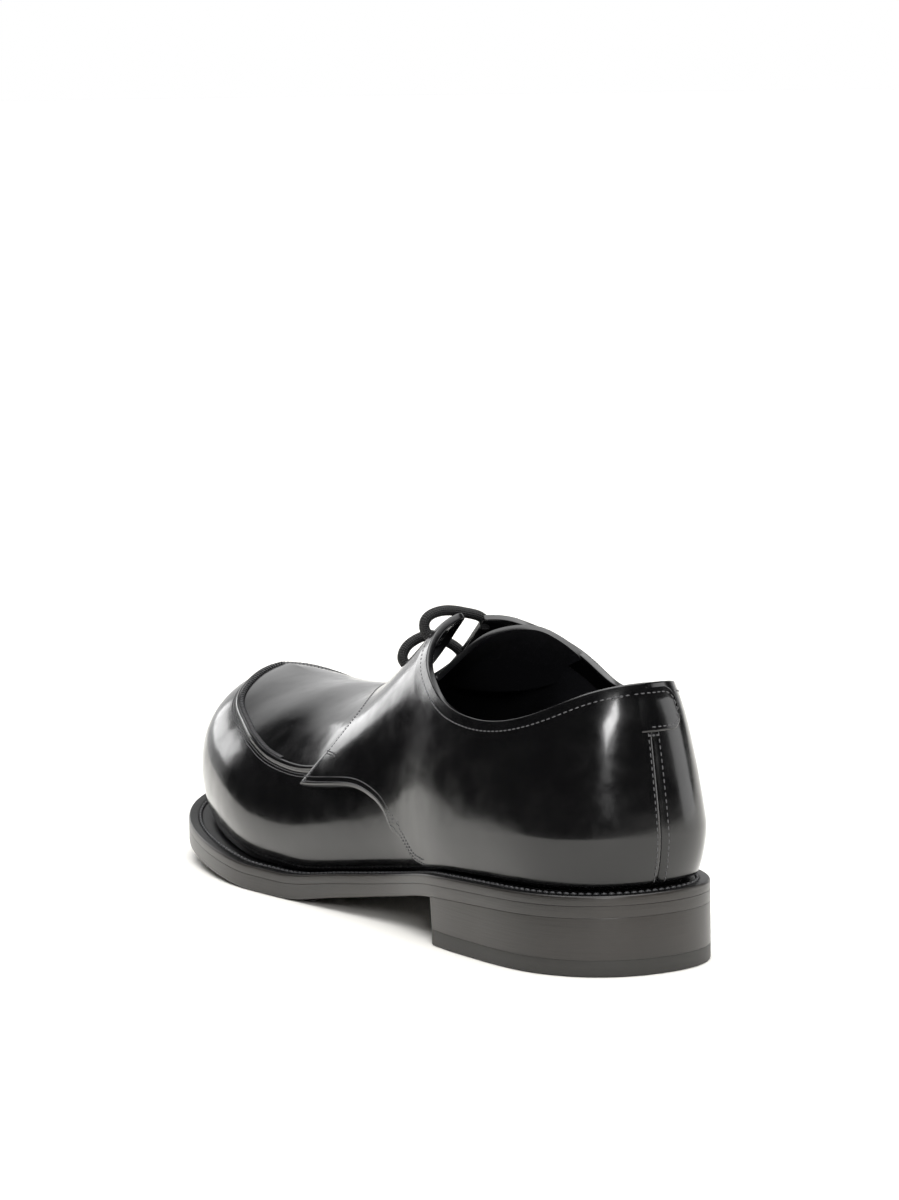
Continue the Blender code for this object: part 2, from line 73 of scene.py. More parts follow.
# Sole outline, one row a station: station, lateral edge, medial edge.
SOLE_OUTLINE = (
    (7.6, 20.0, -26.0),
    (26.0, 35.0, -36.5),
    (55.0, 41.2, -38.5),
    (86.0, 42.8, -36.5),
    (116.0, 40.3, -34.0),
    (150.0, 44.3, -41.5),
    (190.0, 51.3, -53.0),
    (220.0, 55.2, -57.0),
    (255.0, 51.6, -52.5),
    (284.0, 40.5, -37.5),
)
SOLE_BACK = (-4.0, 0.8)
TOE_LATERAL = (19.5, 300.5)
TOE_TIP = (-2.0, SOLE_LENGTH)
TOE_MEDIAL = (-21.0, 299.5)

# Underside and thickness of the sole: station, height of underside, thickness with welt.
SOLE_PROFILE = (
    (0.0, 21.0, 8.4),
    (50.0, 19.6, 8.4),
    (85.0, 17.6, 8.4),
    (120.0, 11.5, 8.5),
    (155.0, 5.3, 9.2),
    (190.0, 0.0, 9.9),
    (209.0, 0.0, 9.9),
    (228.0, 1.4, 9.9),
    (265.0, 5.0, 9.9),
    (303.0, 13.0, 9.9),
)

# The last, one row a station: station, inset of the widest line from the sole's
# edge on the lateral and medial side, inset of the feather from the widest line,
# height of the widest line over the feather, squareness of the section, and
# sideways shift of the crest.
LAST_SECTIONS = (
    (0.8, 2.9, 2.9, 3.9, 19.0, 1.50, 0.5),
    (45.0, 3.4, 3.1, 4.0, 19.0, 1.55, 0.1),
    (90.0, 2.2, 0.5, 4.5, 17.0, 1.68, -3.7),
    (125.0, 1.0, -1.0, 5.5, 16.0, 1.75, -6.2),
    (160.0, 0.6, -0.2, 5.5, 16.0, 1.79, -6.2),
    (200.0, 2.0, 2.0, 5.0, 16.0, 1.90, -5.2),
    (240.0, 4.2, 4.0, 4.5, 17.8, 2.32, -3.4),
    (275.0, 5.7, 5.0, 4.5, 19.5, 2.85, -1.3),
    (303.0, 5.7, 5.7, 4.5, 19.8, 2.90, 0.0),
)

# Crest of the last: station, height. Behind the throat it is the ankle that the
# topline cuts through.
LAST_CREST = (
    (38.0, 146.0),
    (70.0, 144.5),
    (105.0, 132.5),
    (135.0, 112.0),
    (165.0, 88.3),
    (185.0, 78.7),
    (205.0, 73.6),
    (225.0, 72.9),
    (245.0, 71.8),
    (262.0, 72.6),
    (300.0, 78.0),
)

# Where a rib that leaves the feather at a share of the way from back to toe
# reaches the crest: share, station of the crest.
RIB_FAN = (
    (0.0, 38.0),
    (0.10, 50.0),
    (0.24, 66.0),
    (0.36, 100.0),
    (0.50, 150.0),
    (0.69, 211.5),
    (0.86, 243.0),
    (1.0, 267.0),
)

# Topline of each side up to the facing's corner: station, height.
TOPLINE_LATERAL = (
    (8.0, 103.2),
    (16.0, 101.2),
    (30.0, 93.7),
    (46.0, 87.6),
    (63.0, 85.0),
    (80.0, 85.6),
    (95.0, 88.2),
    (110.0, 93.2),
    (120.0, 98.0),
    (128.0, 104.5),
    (137.0, 114.5),
    (150.0, 132.0),
)
TOPLINE_MEDIAL = (
    (8.0, 103.2),
    (16.0, 101.3),
    (35.0, 96.0),
    (55.0, 91.5),
    (73.0, 92.0),
    (89.0, 99.5),
    (110.0, 106.0),
    (128.0, 109.0),
    (137.0, 111.5),
    (150.0, 118.0),
)
FACING_END = 183.0
FACING_ROUND = {1: 0.05, -1: 0.2}

# Lower seam of a quarter from the sole to its tip: station, height.
QUARTER_LEAVES_SOLE = 98.0
QUARTER_SEAM = (
    (104.4, 28.3),
    (112.0, 35.1),
    (122.9, 41.6),
    (133.8, 46.6),
    (147.2, 48.2),
    (160.2, 46.6),
    (181.1, 44.1),
)

# Front edge of a quarter from its tip to the throat: share of the climb, and how
# far it bows back from a straight line, as a share of the way round.
FRONT_BOW = (
    (0.0, 0.0),
    (0.112, -0.0156),
    (0.219, -0.0287),
    (0.338, -0.0402),
    (0.466, -0.0453),
    (0.712, -0.0209),
    (1.0, 0.0),
)

# Apron ridge on each side, from the quarter to the front: station, height.
APRON_SIDE = (
    (180.0, 50.4),
    (192.2, 49.4),
    (203.0, 49.9),
    (214.0, 51.5),
    (228.0, 54.9),
    (243.0, 58.2),
    (264.8, 64.0),
    (274.5, 68.6),
)
APRON_FRONT = (284.5, 72.0)

LACE_RADIUS = 2.0

# Outer faces over the last: a quarter's, which thins towards its rim, and the strap's.
QUARTER_OUT = 1.9
RIM_OUT = 1.2
RIM_TAPER = 11.0
STRAP_OUT = 2.7

# Folded rim: its inner face inside the last, its reach down the lining, its rounding.
FOLD_IN = 1.7
FOLD_DEPTH = 8.0
FOLD_ROUND = 0.7

# Cut edges of the quarters, and the groove of the back seam.
EDGE_CURL = 0.45
GROOVE_HALF_WIDTH = 1.6
GROOVE_LEFT = 0.45

# Strap, along the rim from the back seam, medial side positive, and down from the rim.
STRAP_REACH = 16.6
STRAP_START = -7.0
STRAP_LEVEL_AT = 3.0
STRAP_DROP = 17.5
STRAP_CORNER = 7.0
STRAP_TOP = 1.6

# Stitch rows, each a distance from the edge that it follows.
SEAM_ROWS = (1.4, 3.3)
FRONT_ROW = 1.5
COLLAR_ROW = 3.9
BACK_ROW = 2.3
STRAP_ROW = 1.6

# Bar tacks: two rows at the quarter's front by station and height, and two beside
# the strap by distance from the back seam and drop from the rim.
FRONT_TACK_STATIONS = (171.8, 163.0)
FRONT_TACK_HEIGHTS = (56.4, 57.3)
BACK_TACKS = (((-19.0, -11.5), (4.2, 4.0)), ((-2.7, 2.7), (18.8, 18.8)))

# Section of the apron ridge: distance across it, towards the apron, and lift.
RIDGE_PROFILE = (
    (-2.1, -0.25),
    (-1.8, 0.2),
    (-1.3, 0.8),
    (-0.7, 1.35),
    (0.0, 1.55),
    (0.6, 1.3),
    (1.0, 0.8),
    (1.4, 0.2),
    (1.6, -0.25),
)

# Stitch rows along the ridge: distance outside it, and lift.
APRON_ROWS = ((1.15, 0.85), (2.4, 0.0), (3.5, 0.0))
WHIPPING_PITCH = 1.5

# Top face of the welt from its edge inwards, with the stitch groove: inset, height.
WELT_TOP = (
    (0.45, -0.12),
    (1.0, 0.0),
    (3.2, 0.05),
    (3.8, -0.1),
    (4.2, -0.55),
    (5.0, -0.55),
    (5.4, -0.1),
    (5.9, 0.05),
    (9.0, 0.0),
    (18.0, 0.0),
)
WELT_ROW = 4.6


def smooth_curve(knots, values):
    """Natural cubic through the values at the knots."""
    t = np.asarray(knots, float)
    v = np.asarray(values, float)
    step = np.diff(t)
    slope = np.diff(v, axis=0) / (step[:, None] if v.ndim == 2 else step)
    count = len(t)
    matrix = np.eye(count)
    right = np.zeros_like(v)
    for i in range(1, count - 1):
        matrix[i, i - 1:i + 2] = step[i - 1], 2 * (step[i - 1] + step[i]), step[i]
        right[i] = 6 * (slope[i] - slope[i - 1])
    bend = np.linalg.solve(matrix, right)

    def curve(at):
        at = np.asarray(at, float)
        i = np.clip(np.searchsorted(t, at, side="right") - 1, 0, count - 2)
        d = at - t[i]
        h = step[i]
        if v.ndim == 2:
            d = d[..., None]
            h = h[..., None]
        value = v[i] + d * (slope[i] - h * (2 * bend[i] + bend[i + 1]) / 6)
        return value + d ** 2 * bend[i] / 2 + d ** 3 * (bend[i + 1] - bend[i]) / (6 * h)

    return curve


def level_curve(knots, values):
    """Cubic through the values that never swings past them."""
    t = np.asarray(knots, float)
    v = np.asarray(values, float)
    step = np.diff(t)
    slope = np.diff(v) / step
    lean = np.zeros(len(t))
    for i in range(1, len(t) - 1):
        if slope[i - 1] * slope[i] > 0:
            before = 2 * step[i] + step[i - 1]
            after = step[i] + 2 * step[i - 1]
            lean[i] = (before + after) / (before / slope[i - 1] + after / slope[i])
    lean[0] = slope[0]
    lean[-1] = slope[-1]

    def curve(at):
        at = np.asarray(at, float)
        i = np.clip(np.searchsorted(t, at, side="right") - 1, 0, len(t) - 2)
        h = step[i]
        d = (at - t[i]) / h
        blend = 3 * d ** 2 - 2 * d ** 3
        lean_in = (d ** 3 - 2 * d ** 2 + d) * h * lean[i]
        lean_out = (d ** 3 - d ** 2) * h * lean[i + 1]
        return (1 - blend) * v[i] + blend * v[i + 1] + lean_in + lean_out

    return curve


def column(table, index):
    """Smooth curve of one column of a table over its first column."""
    rows = np.array(table)
    return smooth_curve(rows[:, 0], rows[:, index])


def sole_outline_curve():
    """The outline as one smooth closed curve, with the lengths at the toe and in all."""
    lateral = [(row[1], row[0]) for row in SOLE_OUTLINE]
    medial = [(row[2], row[0]) for row in reversed(SOLE_OUTLINE)]
    loop = [SOLE_BACK] + lateral + [TOE_LATERAL, TOE_TIP, TOE_MEDIAL] + medial
    wrap = 4
    points = np.array(loop[-wrap:] + loop + loop[:wrap + 1])
    length = np.r_[0, np.cumsum(np.hypot(*np.diff(points, axis=0).T))]
    length -= length[wrap]
    toe = length[wrap + len(lateral) + 2]
    return smooth_curve(length, points), toe, length[wrap + len(loop)]


OUTLINE, TOE_AT, OUTLINE_LENGTH = sole_outline_curve()
SOLE_UNDER = level_curve([r[0] for r in SOLE_PROFILE], [r[1] for r in SOLE_PROFILE])
SOLE_THICK = level_curve([r[0] for r in SOLE_PROFILE], [r[2] for r in SOLE_PROFILE])
WIDE_INSET = {1: column(LAST_SECTIONS, 1), -1: column(LAST_SECTIONS, 2)}
FEATHER_INSET = column(LAST_SECTIONS, 3)
WIDE_HEIGHT = column(LAST_SECTIONS, 4)
SQUARENESS = column(LAST_SECTIONS, 5)
CREST_SHIFT = column(LAST_SECTIONS, 6)
CREST_HEIGHT = column(LAST_CREST, 1)
CREST_STATION = column(RIB_FAN, 1)
TOPLINE = {1: column(TOPLINE_LATERAL, 1), -1: column(TOPLINE_MEDIAL, 1)}
FRONT_BOW_AT = column(FRONT_BOW, 1)
SIDE_LENGTH = {1: TOE_AT, -1: OUTLINE_LENGTH - TOE_AT}


def sole_top(station):
    """Height of the welt's top face."""
    at = np.clip(station, 0.0, SOLE_LENGTH)
    return SOLE_UNDER(at) + SOLE_THICK(at)


def plan_edge(side, share):
    """Sole edge and its outward direction at a share of the way from back to toe."""
    share = np.asarray(share, float)
    if side > 0:
        at = TOE_AT * share
    else:
        at = OUTLINE_LENGTH - SIDE_LENGTH[-1] * share
    small = 0.05
    ahead = OUTLINE(at + small) - OUTLINE(at - small)
    ahead /= np.linalg.norm(ahead, axis=-1, keepdims=True)
    outward = np.stack([ahead[..., 1], -ahead[..., 0]], -1)
    return OUTLINE(at), outward


def plan_inset(side, share, inset):
    """Plan point a distance inside the sole's edge."""
    edge, outward = plan_edge(side, share)
    return edge - outward * np.asarray(inset)[..., None]


def share_at(side, station):
    """Share of the way round at which the sole's edge reaches a station."""
    low, high = 0.0, 1.0
    for _ in range(40):
        middle = (low + high) / 2
        if plan_edge(side, middle)[0][1] < station:
            low = middle
        else:
            high = middle
    return low


def share_of_crest(station):
    """Share of the rib that reaches the crest at a station."""
    shares = np.linspace(0.0, 1.0, 400)
    return float(np.interp(station, CREST_STATION(shares), shares))


def widest_line(side, share):
    """Plan points of the last's widest line and of its feather."""
    edge, outward = plan_edge(side, share)
    station = edge[..., 1]
    wide = edge - outward * WIDE_INSET[side](station)[..., None]
    feather = wide - outward * FEATHER_INSET(station)[..., None]
    return wide, feather, station


def crest_point(share):
    """Plan point of the crest that a pair of ribs meets in."""
    lateral = widest_line(1, share)[0]
    medial = widest_line(-1, share)[0]
    return np.stack([(lateral[..., 0] + medial[..., 0]) / 2, CREST_STATION(share)], -1)


def last_point(side, share, rise):
    """Point of the last: rise 0 at the feather, 1 at the widest line, 2 at the crest."""
    share, rise = np.broadcast_arrays(np.asarray(share, float), np.asarray(rise, float))
    wide, feather, station = widest_line(side, share)
    base = sole_top(station) + GAP
    wide_height = base + WIDE_HEIGHT(station)
    crest = crest_point(share)
    low = np.clip(rise, 0.0, 1.0)
    angle = np.clip(rise - 1.0, 0.0, 1.0) * np.pi / 2
    square = SQUARENESS(crest[..., 1])
    across = np.cos(angle) ** np.minimum(1.0, 2 / square)
    upward = np.sin(angle) ** np.where(square < 2, (2 / square) ** 2, 2 / square)
    under = wide - (wide - feather) * ((1 - low) ** 2)[..., None]
    over = crest + (wide - crest) * across[..., None]
    plan = np.where((rise < 1)[..., None], under, over)
    tall = wide_height + (CREST_HEIGHT(over[..., 1]) - wide_height) * upward
    height = np.where(rise < 1, base + (wide_height - base) * low, tall)
    shift = CREST_SHIFT(crest[..., 1]) * np.sin(angle) ** 2
    return np.stack([plan[..., 0] + shift, plan[..., 1], height], -1)


def surface_point(side, share, rise, lift):
    """Point at a distance outside the last, along its normal."""
    small = 0.002
    share, rise = np.broadcast_arrays(np.asarray(share, float), np.asarray(rise, float))
    along = (last_point(side, np.minimum(share + small, 1.0), rise)
             - last_point(side, np.maximum(share - small, 0.0), rise))
    up = (last_point(side, share, np.minimum(rise + small, 2.0))
          - last_point(side, share, np.maximum(rise - small, 0.0)))
    normal = np.cross(along, up) * side
    normal /= np.linalg.norm(normal, axis=-1, keepdims=True)
    return last_point(side, share, rise) + normal * np.asarray(lift)[..., None]


def rise_where(side, share, over):
    """Rise at which a rib passes a test, which is false low down and true high up."""
    share = np.asarray(share, float)
    low = np.full(share.shape, 1.0)
    high = np.full(share.shape, 2.0)
    for _ in range(30):
        middle = (low + high) / 2
        above = over(last_point(side, share, middle))
        high = np.where(above, middle, high)
        low = np.where(above, low, middle)
    return low


def rise_at_height(side, share, height):
    """Rise at which a rib reaches a height, over or under the widest line."""
    base = last_point(side, share, 0.0)[..., 2]
    wide = last_point(side, share, 1.0)[..., 2]
    low = (height - base) / (wide - base)
    high = rise_where(side, share, lambda point: point[..., 2] > height)
    return np.where(height < wide, low, high)


def locate(side, station, height):
    """Share and rise of the surface points with given stations and heights."""
    low = np.zeros(np.shape(station))
    high = np.ones(np.shape(station))
    for _ in range(26):
        share = (low + high) / 2
        rise = rise_at_height(side, share, height)
        before = last_point(side, share, rise)[..., 1] < station
        low = np.where(before, share, low)
        high = np.where(before, high, share)
    return share, rise


def facing_edge(side, share):
    """Rise of the quarter's upper edge: the topline, then the edge of its facing."""
    share = np.asarray(share, float)
    topline = rise_where(side, share, lambda p: p[..., 2] > TOPLINE[side](p[..., 1]))
    middle = last_point(side, share, 2.0)
    throat = rise_where(
        side, share, lambda p: abs(p[..., 0] - middle[..., 0]) < THROAT_HALF_WIDTH)
    round_off = FACING_ROUND[side]
    near = np.clip(1.0 - abs(topline - throat) / round_off, 0.0, 1.0)
    corner = np.minimum(topline, throat) - near * near * round_off / 4
    return np.where(middle[..., 1] > THROAT_START, corner, topline)


def top_edge(side, share):
    """Rise of the upper's own edge, 2 where the vamp is closed."""
    edge = facing_edge(side, share)
    return np.where(crest_point(share)[..., 1] < THROAT_END, edge, 2.0)


def running_length(points):
    """Length run along a line at each of its points."""
    return np.r_[0.0, np.cumsum(np.linalg.norm(np.diff(points, axis=0), axis=1))]


def value_at(values, run, at):
    """Points or directions along a line, read at a running length."""
    return np.array([np.interp(at, run, axis) for axis in values.T])


def quarter_low_rise(side):
    """End share of a quarter's lower edge, and its rise at any share."""
    share, rise = locate(side, *np.array(QUARTER_SEAM).T)
    start = share_at(side, QUARTER_LEAVES_SOLE)
    curve = level_curve(np.r_[start, share], np.r_[QUARTER_FOOT, rise])
    return share[-1], lambda share: np.where(share < start, QUARTER_FOOT, curve(share))


def to_metres(points):
    """Millimetres by station to the shared frame in metres."""
    points = np.asarray(points, float)
    return np.stack(
        [points[..., 0], HEEL_CENTRE - points[..., 1], points[..., 2]], -1) * MM


def slide(side, share, rise, push):
    """Share and rise after a move over the surface by a vector in millimetres."""
    small = 0.0015
    for _ in range(3):
        along = (last_point(side, np.minimum(share + small, 1.0), rise)
                 - last_point(side, np.maximum(share - small, 0.0), rise))
        along /= (np.minimum(share + small, 1.0) - np.maximum(share - small, 0.0))[..., None]
        up = (last_point(side, share, np.minimum(rise + small, 2.0))
              - last_point(side, share, np.maximum(rise - small, 0.0)))
        up /= (np.minimum(rise + small, 2.0) - np.maximum(rise - small, 0.0))[..., None]
        aa = (along * along).sum(-1)
        uu = (up * up).sum(-1)
        au = (along * up).sum(-1)
        pa = (along * push).sum(-1) / 3
        pu = (up * push).sum(-1) / 3
        det = aa * uu - au * au
        share = share + (pa * uu - pu * au) / det
        rise = rise + (pu * aa - pa * au) / det
    return share, rise


def beside(side, share, rise, distance, lift):
    """Line on the surface a distance to the right of a line, with its normals."""
    base = last_point(side, share, rise)
    ahead = np.gradient(base, axis=0)
    ahead /= np.linalg.norm(ahead, axis=1, keepdims=True)
    normal = surface_point(side, share, rise, np.ones(len(share))) - base
    across = np.cross(ahead, normal)
    share, rise = slide(side, share, rise, across * distance)
    base = surface_point(side, share, rise, np.full(len(share), lift))
    return base, normal


def mesh_of(name, verts, faces, look):
    """Object from points in metres and faces, riding on the shoe."""
    mesh = bpy.data.meshes.new(name)
    mesh.from_pydata([tuple(v) for v in verts], [], [tuple(f) for f in faces])
    mesh.update()
    mesh.shade_smooth()
    thing = bpy.data.objects.new(name, mesh)
    bpy.context.scene.collection.objects.link(thing)
    looks = look if isinstance(look, (list, tuple)) else [look]
    for one in looks:
        mesh.materials.append(one)
    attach(thing, "root")
    return thing


def grid_object(name, rows, look, closed=False, second=None):
    """Surface of quads over a grid of points, with meeting points welded.

    The faces that second marks take the second material.
    """
    rows = np.asarray(rows)
    count, width = rows.shape[:2]
    i, j = np.meshgrid(np.arange(count if closed else count - 1), np.arange(width - 1),
                       indexing="ij")
    ahead = (i + 1) % count
    faces = np.stack([i * width + j, i * width + j + 1,
                      ahead * width + j + 1, ahead * width + j], -1).reshape(-1, 4)
    thing = mesh_of(name, to_metres(rows).reshape(-1, 3), faces, look)
    if second is not None:
        thing.data.polygons.foreach_set("material_index", second.astype(np.int32).ravel())
    shape = bmesh.new()
    shape.from_mesh(thing.data)
    bmesh.ops.remove_doubles(shape, verts=shape.verts, dist=WELD_WITHIN * MM)
    shape.to_mesh(thing.data)
    shape.free()
    return thing


def soft_wave(points):
    """Faint hand-lasted unevenness of the leather, in millimetres."""
    x, s, z = points[..., 0], points[..., 1], points[..., 2]
    wave = 0.10 * np.sin(s / 9.0 + 0.7 * np.sin(z / 8.0) + x / 21.0)
    wave += 0.08 * np.sin(z / 6.5 + 1.3 * np.sin(s / 17.0))
    return wave


def make_vamp(leather, lining):
    """Vamp and lining in one wall, its ribs closer round the facing's corner."""
    shares = level_curve((0, 60, 100, 160), (0.0, 0.39, 0.52, 1.0))(np.arange(161))
    strips = []
    low = np.linspace(0.0, 1.0, 15)[:-1]
    high = np.linspace(0.0, 1.0, 61)
    for side, order in ((1, shares), (-1, shares[-2:0:-1])):
        for share, top in zip(order, top_edge(side, order)):
            top = top - 0.03 * (top < NEAR_CREST)
            rises = np.r_[low, 1.0 + (top - 1.0) * high]
            strips.append(last_point(side, share, rises))
    vamp = grid_object("vamp_and_lining", strips, [leather, lining], closed=True)
    wall = vamp.modifiers.new("wall", "SOLIDIFY")
    wall.thickness = UPPER_WALL * MM
    wall.offset = -1.0
    wall.material_offset = 1
    wall.material_offset_rim = 1
    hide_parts("upper")


def rise_size(side, share, rise):
    """Millimetres over the surface for one unit of rise."""
    small = 0.01
    step = last_point(side, share, rise) - last_point(side, share, rise - small)
    return np.linalg.norm(step, axis=-1) / small


def fold_profile():
    """Folded rim from outside to inside: lifts over the last, and heights over its edge."""
    turn = np.linspace(0.0, np.pi / 2, 6)[1:]
    inner = np.linspace(0.15, 1.0, 5)
    lifts = np.r_[RIM_OUT - FOLD_ROUND + FOLD_ROUND * np.cos(turn),
                  -FOLD_IN + FOLD_ROUND - FOLD_ROUND * np.cos(turn[::-1]),
                  np.full(len(inner), -FOLD_IN)]
    climbs = np.r_[FOLD_ROUND * np.sin(turn), FOLD_ROUND * np.sin(turn[::-1]),
                   -inner * FOLD_DEPTH]
    return lifts, climbs


def quarter_ribs(side):
    """Shares of a quarter's ribs, and the part of its thickness that each keeps.

    The ribs are evenly spaced along both edges together. The leather thins in the
    groove of the back seam, and goes down to the vamp at the front edge.
    """
    low_end, low_rise = quarter_low_rise(side)
    high_end = share_of_crest(FACING_END)
    fine = np.linspace(0.0, 1.0, 1200)
    length = running_length(last_point(side, fine * low_end, low_rise(fine * low_end)))
    length += running_length(
        last_point(side, fine * high_end, facing_edge(side, fine * high_end)))
    along = np.interp(np.linspace(0.0, length[-1], 230), length, fine)
    groove = np.clip(along * low_end * TOE_AT / GROOVE_HALF_WIDTH, 0.0, 1.0)
    keep = GROOVE_LEFT + (1.0 - GROOVE_LEFT) * groove ** 0.5
    return np.r_[along, 1.0, 1.0, 1.0], np.r_[keep, 0.8, 0.45, -0.1]


def make_quarter(name, side, leather, cut_edge):
    """Quarter with curled cut edges below and a folded edge along collar and facing."""
    low_end, low_rise = quarter_low_rise(side)
    high_end = share_of_crest(FACING_END)
    along, keep = quarter_ribs(side)
    low = low_rise(along * low_end)
    high = facing_edge(side, along * high_end)
    unit = rise_size(side, along * high_end, high)
    fold_lifts, fold_climbs = fold_profile()
    mix = np.linspace(0.0, 1.0, 70) ** 0.9
    strips = []
    for i, part in enumerate(along):
        share = part * (low_end + (high_end - low_end) * mix) + part ** 6 * FRONT_BOW_AT(mix)
        crown = high[i] - FOLD_ROUND / unit[i]
        rise = low[i] + (crown - low[i]) * mix
        start = np.array((0.0, 0.0, EDGE_CURL * 0.35)) / unit[i]
        below = np.clip((crown - rise) * unit[i] / RIM_TAPER, 0.0, 1.0)
        lift = RIM_OUT + (QUARTER_OUT - RIM_OUT) * below ** 0.8
        shares = np.r_[np.full(3, share[0]), share[1:], np.full(len(fold_lifts), share[-1])]
        rises = np.r_[low[i] + start, rise[1:], crown + fold_climbs / unit[i]]
        lifts = np.r_[-0.1, QUARTER_OUT - EDGE_CURL, QUARTER_OUT - 0.1, lift[1:], fold_lifts]
        strapped = (part < 0.5) & ((crown - rises) * unit[i] < STRAP_DROP - 1.5)
        outward = np.where(lifts > 0, lifts * np.where(strapped, 1.0, keep[i]), lifts)
        points = surface_point(side, shares, np.minimum(rises, NEAR_CREST), outward)
        points += (soft_wave(points) * (lifts > 1.0))[:, None] * normal_of(side, shares, rises)
        strips.append(points)
    bare = np.zeros((len(strips) - 1, len(strips[0]) - 1), bool)
    bare[:, :2] = True
    bare[-3:] = True
    if side < 0:
        strips, bare = strips[::-1], bare[::-1]
    quarter = grid_object(name, strips, [leather, cut_edge], second=bare)
    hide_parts(name)


def normal_of(side, shares, rises):
    """Outward directions of the surface."""
    rises = np.minimum(rises, NEAR_CREST)
    return surface_point(side, shares, rises, 1.0) - last_point(side, shares, rises)


def strap_points(distance, drop, lift):
    """Points over the back by distance past the back seam and drop from the rim."""
    distance, drop, lift = np.broadcast_arrays(distance, drop, lift)
    points = np.empty(distance.shape + (3,))
    for side, here in ((1, distance < 0), (-1, distance >= 0)):
        share = abs(distance[here]) / SIDE_LENGTH[side]
        top = facing_edge(side, share)
        rise = np.minimum(top - drop[here] / rise_size(side, share, top), NEAR_CREST)
        points[here] = surface_point(side, share, rise, lift[here])
        points[here] += soft_wave(points[here])[:, None] * normal_of(side, share, rise)
    return points


def strap_line(distance, drop, lift):
    """Line over the back with its outward directions."""
    points = strap_points(distance, drop, lift)
    return points, points - strap_points(distance, drop, lift - 1.0)


def strap_out(distance, drop):
    """Height of the strap's face over the last, just under the quarter where it starts."""
    merge = np.clip((distance - STRAP_START) / (STRAP_LEVEL_AT - STRAP_START), 0.0, 1.0)
    merge = merge * merge * (3 - 2 * merge)
    under = np.clip((drop - FOLD_ROUND) / RIM_TAPER, 0.0, 1.0) ** 0.8
    quarter = RIM_OUT + (QUARTER_OUT - RIM_OUT) * under
    return quarter - 0.1 + (STRAP_OUT - QUARTER_OUT + 0.1) * merge * np.clip(
        (drop - STRAP_TOP) / 5.0, 0.0, 1.0)


def make_strap(leather):
    """Strap that runs on from the lateral quarter over the back seam, with a round end."""
    distance = np.linspace(STRAP_START, STRAP_REACH, 90)
    past = np.clip(STRAP_CORNER - (STRAP_REACH - distance), 0.0, STRAP_CORNER)
    cut = STRAP_CORNER - np.sqrt(STRAP_CORNER ** 2 - past ** 2)
    top, bottom = STRAP_TOP + cut * 0.6, STRAP_DROP - cut
    drops = [bottom + 0.22, bottom + 0.18, bottom + 0.1]
    drops += [bottom + (top - bottom) * m for m in np.linspace(0.0, 1.0, 24)]
    drops += [top - 0.1, top - 0.2]
    drops = np.stack(drops, 1)
    face = strap_out(distance[:, None], drops)
    sink = np.zeros(drops.shape[1])
    sink[[0, 1, 2, -2, -1]] = 2.0, 0.6, 0.15, 0.3, 1.2
    strips = strap_points(distance[:, None], drops, face - sink)
    inward = strap_points(STRAP_REACH + 0.2, drops[-1], face[-1] - 1.6)
    strips = np.concatenate([strips, inward[None]])
    strap = grid_object("heel_strap", strips[::-1], leather)
    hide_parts("heel_tab")


def stitches(name, lines, thread, pitch=2.3, length=1.6, width=0.5, height=0.3):
    """Rows of single stitches, each a small worm of thread half sunk in the leather."""
    ring = np.linspace(0.0, 2 * np.pi, 7)[:-1]
    sides = len(ring)
    spans = np.array((-1.0, -0.82, -0.3, 0.3, 0.82, 1.0))
    thick = np.array((0.25, 0.75, 1.0, 1.0, 0.75, 0.25))
    verts, faces = [], []
    for points, normals in lines:
        run = running_length(points)
        count = max(int(run[-1] / pitch), 1)
        for at in (np.arange(count) + 0.5) * run[-1] / count:
            place = value_at(points, run, at)
            ahead = value_at(points, run, at + 0.4) - value_at(points, run, at - 0.4)
            ahead /= np.linalg.norm(ahead)
            up = value_at(normals, run, at)
            up -= ahead * up.dot(ahead)
            up /= np.linalg.norm(up)
            out = np.cross(ahead, up)
            first = len(verts)
            for span, fat in zip(spans, thick):
                centre = place + ahead * span * length / 2 - up * 0.12 * span * span
                for angle in ring:
                    verts.append(centre + out * math.cos(angle) * fat * width / 2
                                 + up * math.sin(angle) * fat * height)
            for s in range(len(spans) - 1):
                for r in range(sides):
                    a = first + s * sides + r
                    b = first + s * sides + (r + 1) % sides
                    faces.append((a, b, b + sides, a + sides))
            last = first + (len(spans) - 1) * sides
            faces.append(tuple(first + r for r in range(sides - 1, -1, -1)))
            faces.append(tuple(last + r for r in range(sides)))
    thing = mesh_of(name, to_metres(np.array(verts)), faces, thread)


def seam_lines(side):
    """Rows along a quarter's lower seam, and one along its front edge."""
    low_end, low_rise = quarter_low_rise(side)
    start = share_at(side, QUARTER_LEAVES_SOLE - 2.0)
    shares = np.linspace(start, low_end - 0.004, 160)
    lines = [beside(side, shares, low_rise(shares), -inset * side, QUARTER_OUT)
             for inset in SEAM_ROWS]
    high_end = share_of_crest(FACING_END)
    mix = np.linspace(0.02, 0.97, 90)
    top = float(facing_edge(side, high_end))
    tip = float(low_rise(low_end))
    shares = low_end + (high_end - low_end) * mix + FRONT_BOW_AT(mix)
    rises = tip + (top - tip) * mix
    lines.append(beside(side, shares, rises, -FRONT_ROW * side, QUARTER_OUT))
    return lines


def collar_lines(side):
    """Row along a quarter's collar and facing, and one beside the back seam."""
    back = 8.5 / TOE_AT if side > 0 else 0.055
    shares = np.linspace(back, share_of_crest(FACING_END) - 0.004, 500)
    collar = beside(side, shares, facing_edge(side, shares), COLLAR_ROW * side, RIM_OUT + 0.35)
    rises = np.linspace(QUARTER_FOOT, float(rise_at_height(side, 0.0, 85.0)), 90)
    shares = np.full(90, BACK_ROW / SIDE_LENGTH[side])
    base = surface_point(side, shares, rises, QUARTER_OUT)
    return [collar, (base, normal_of(side, shares, rises))]


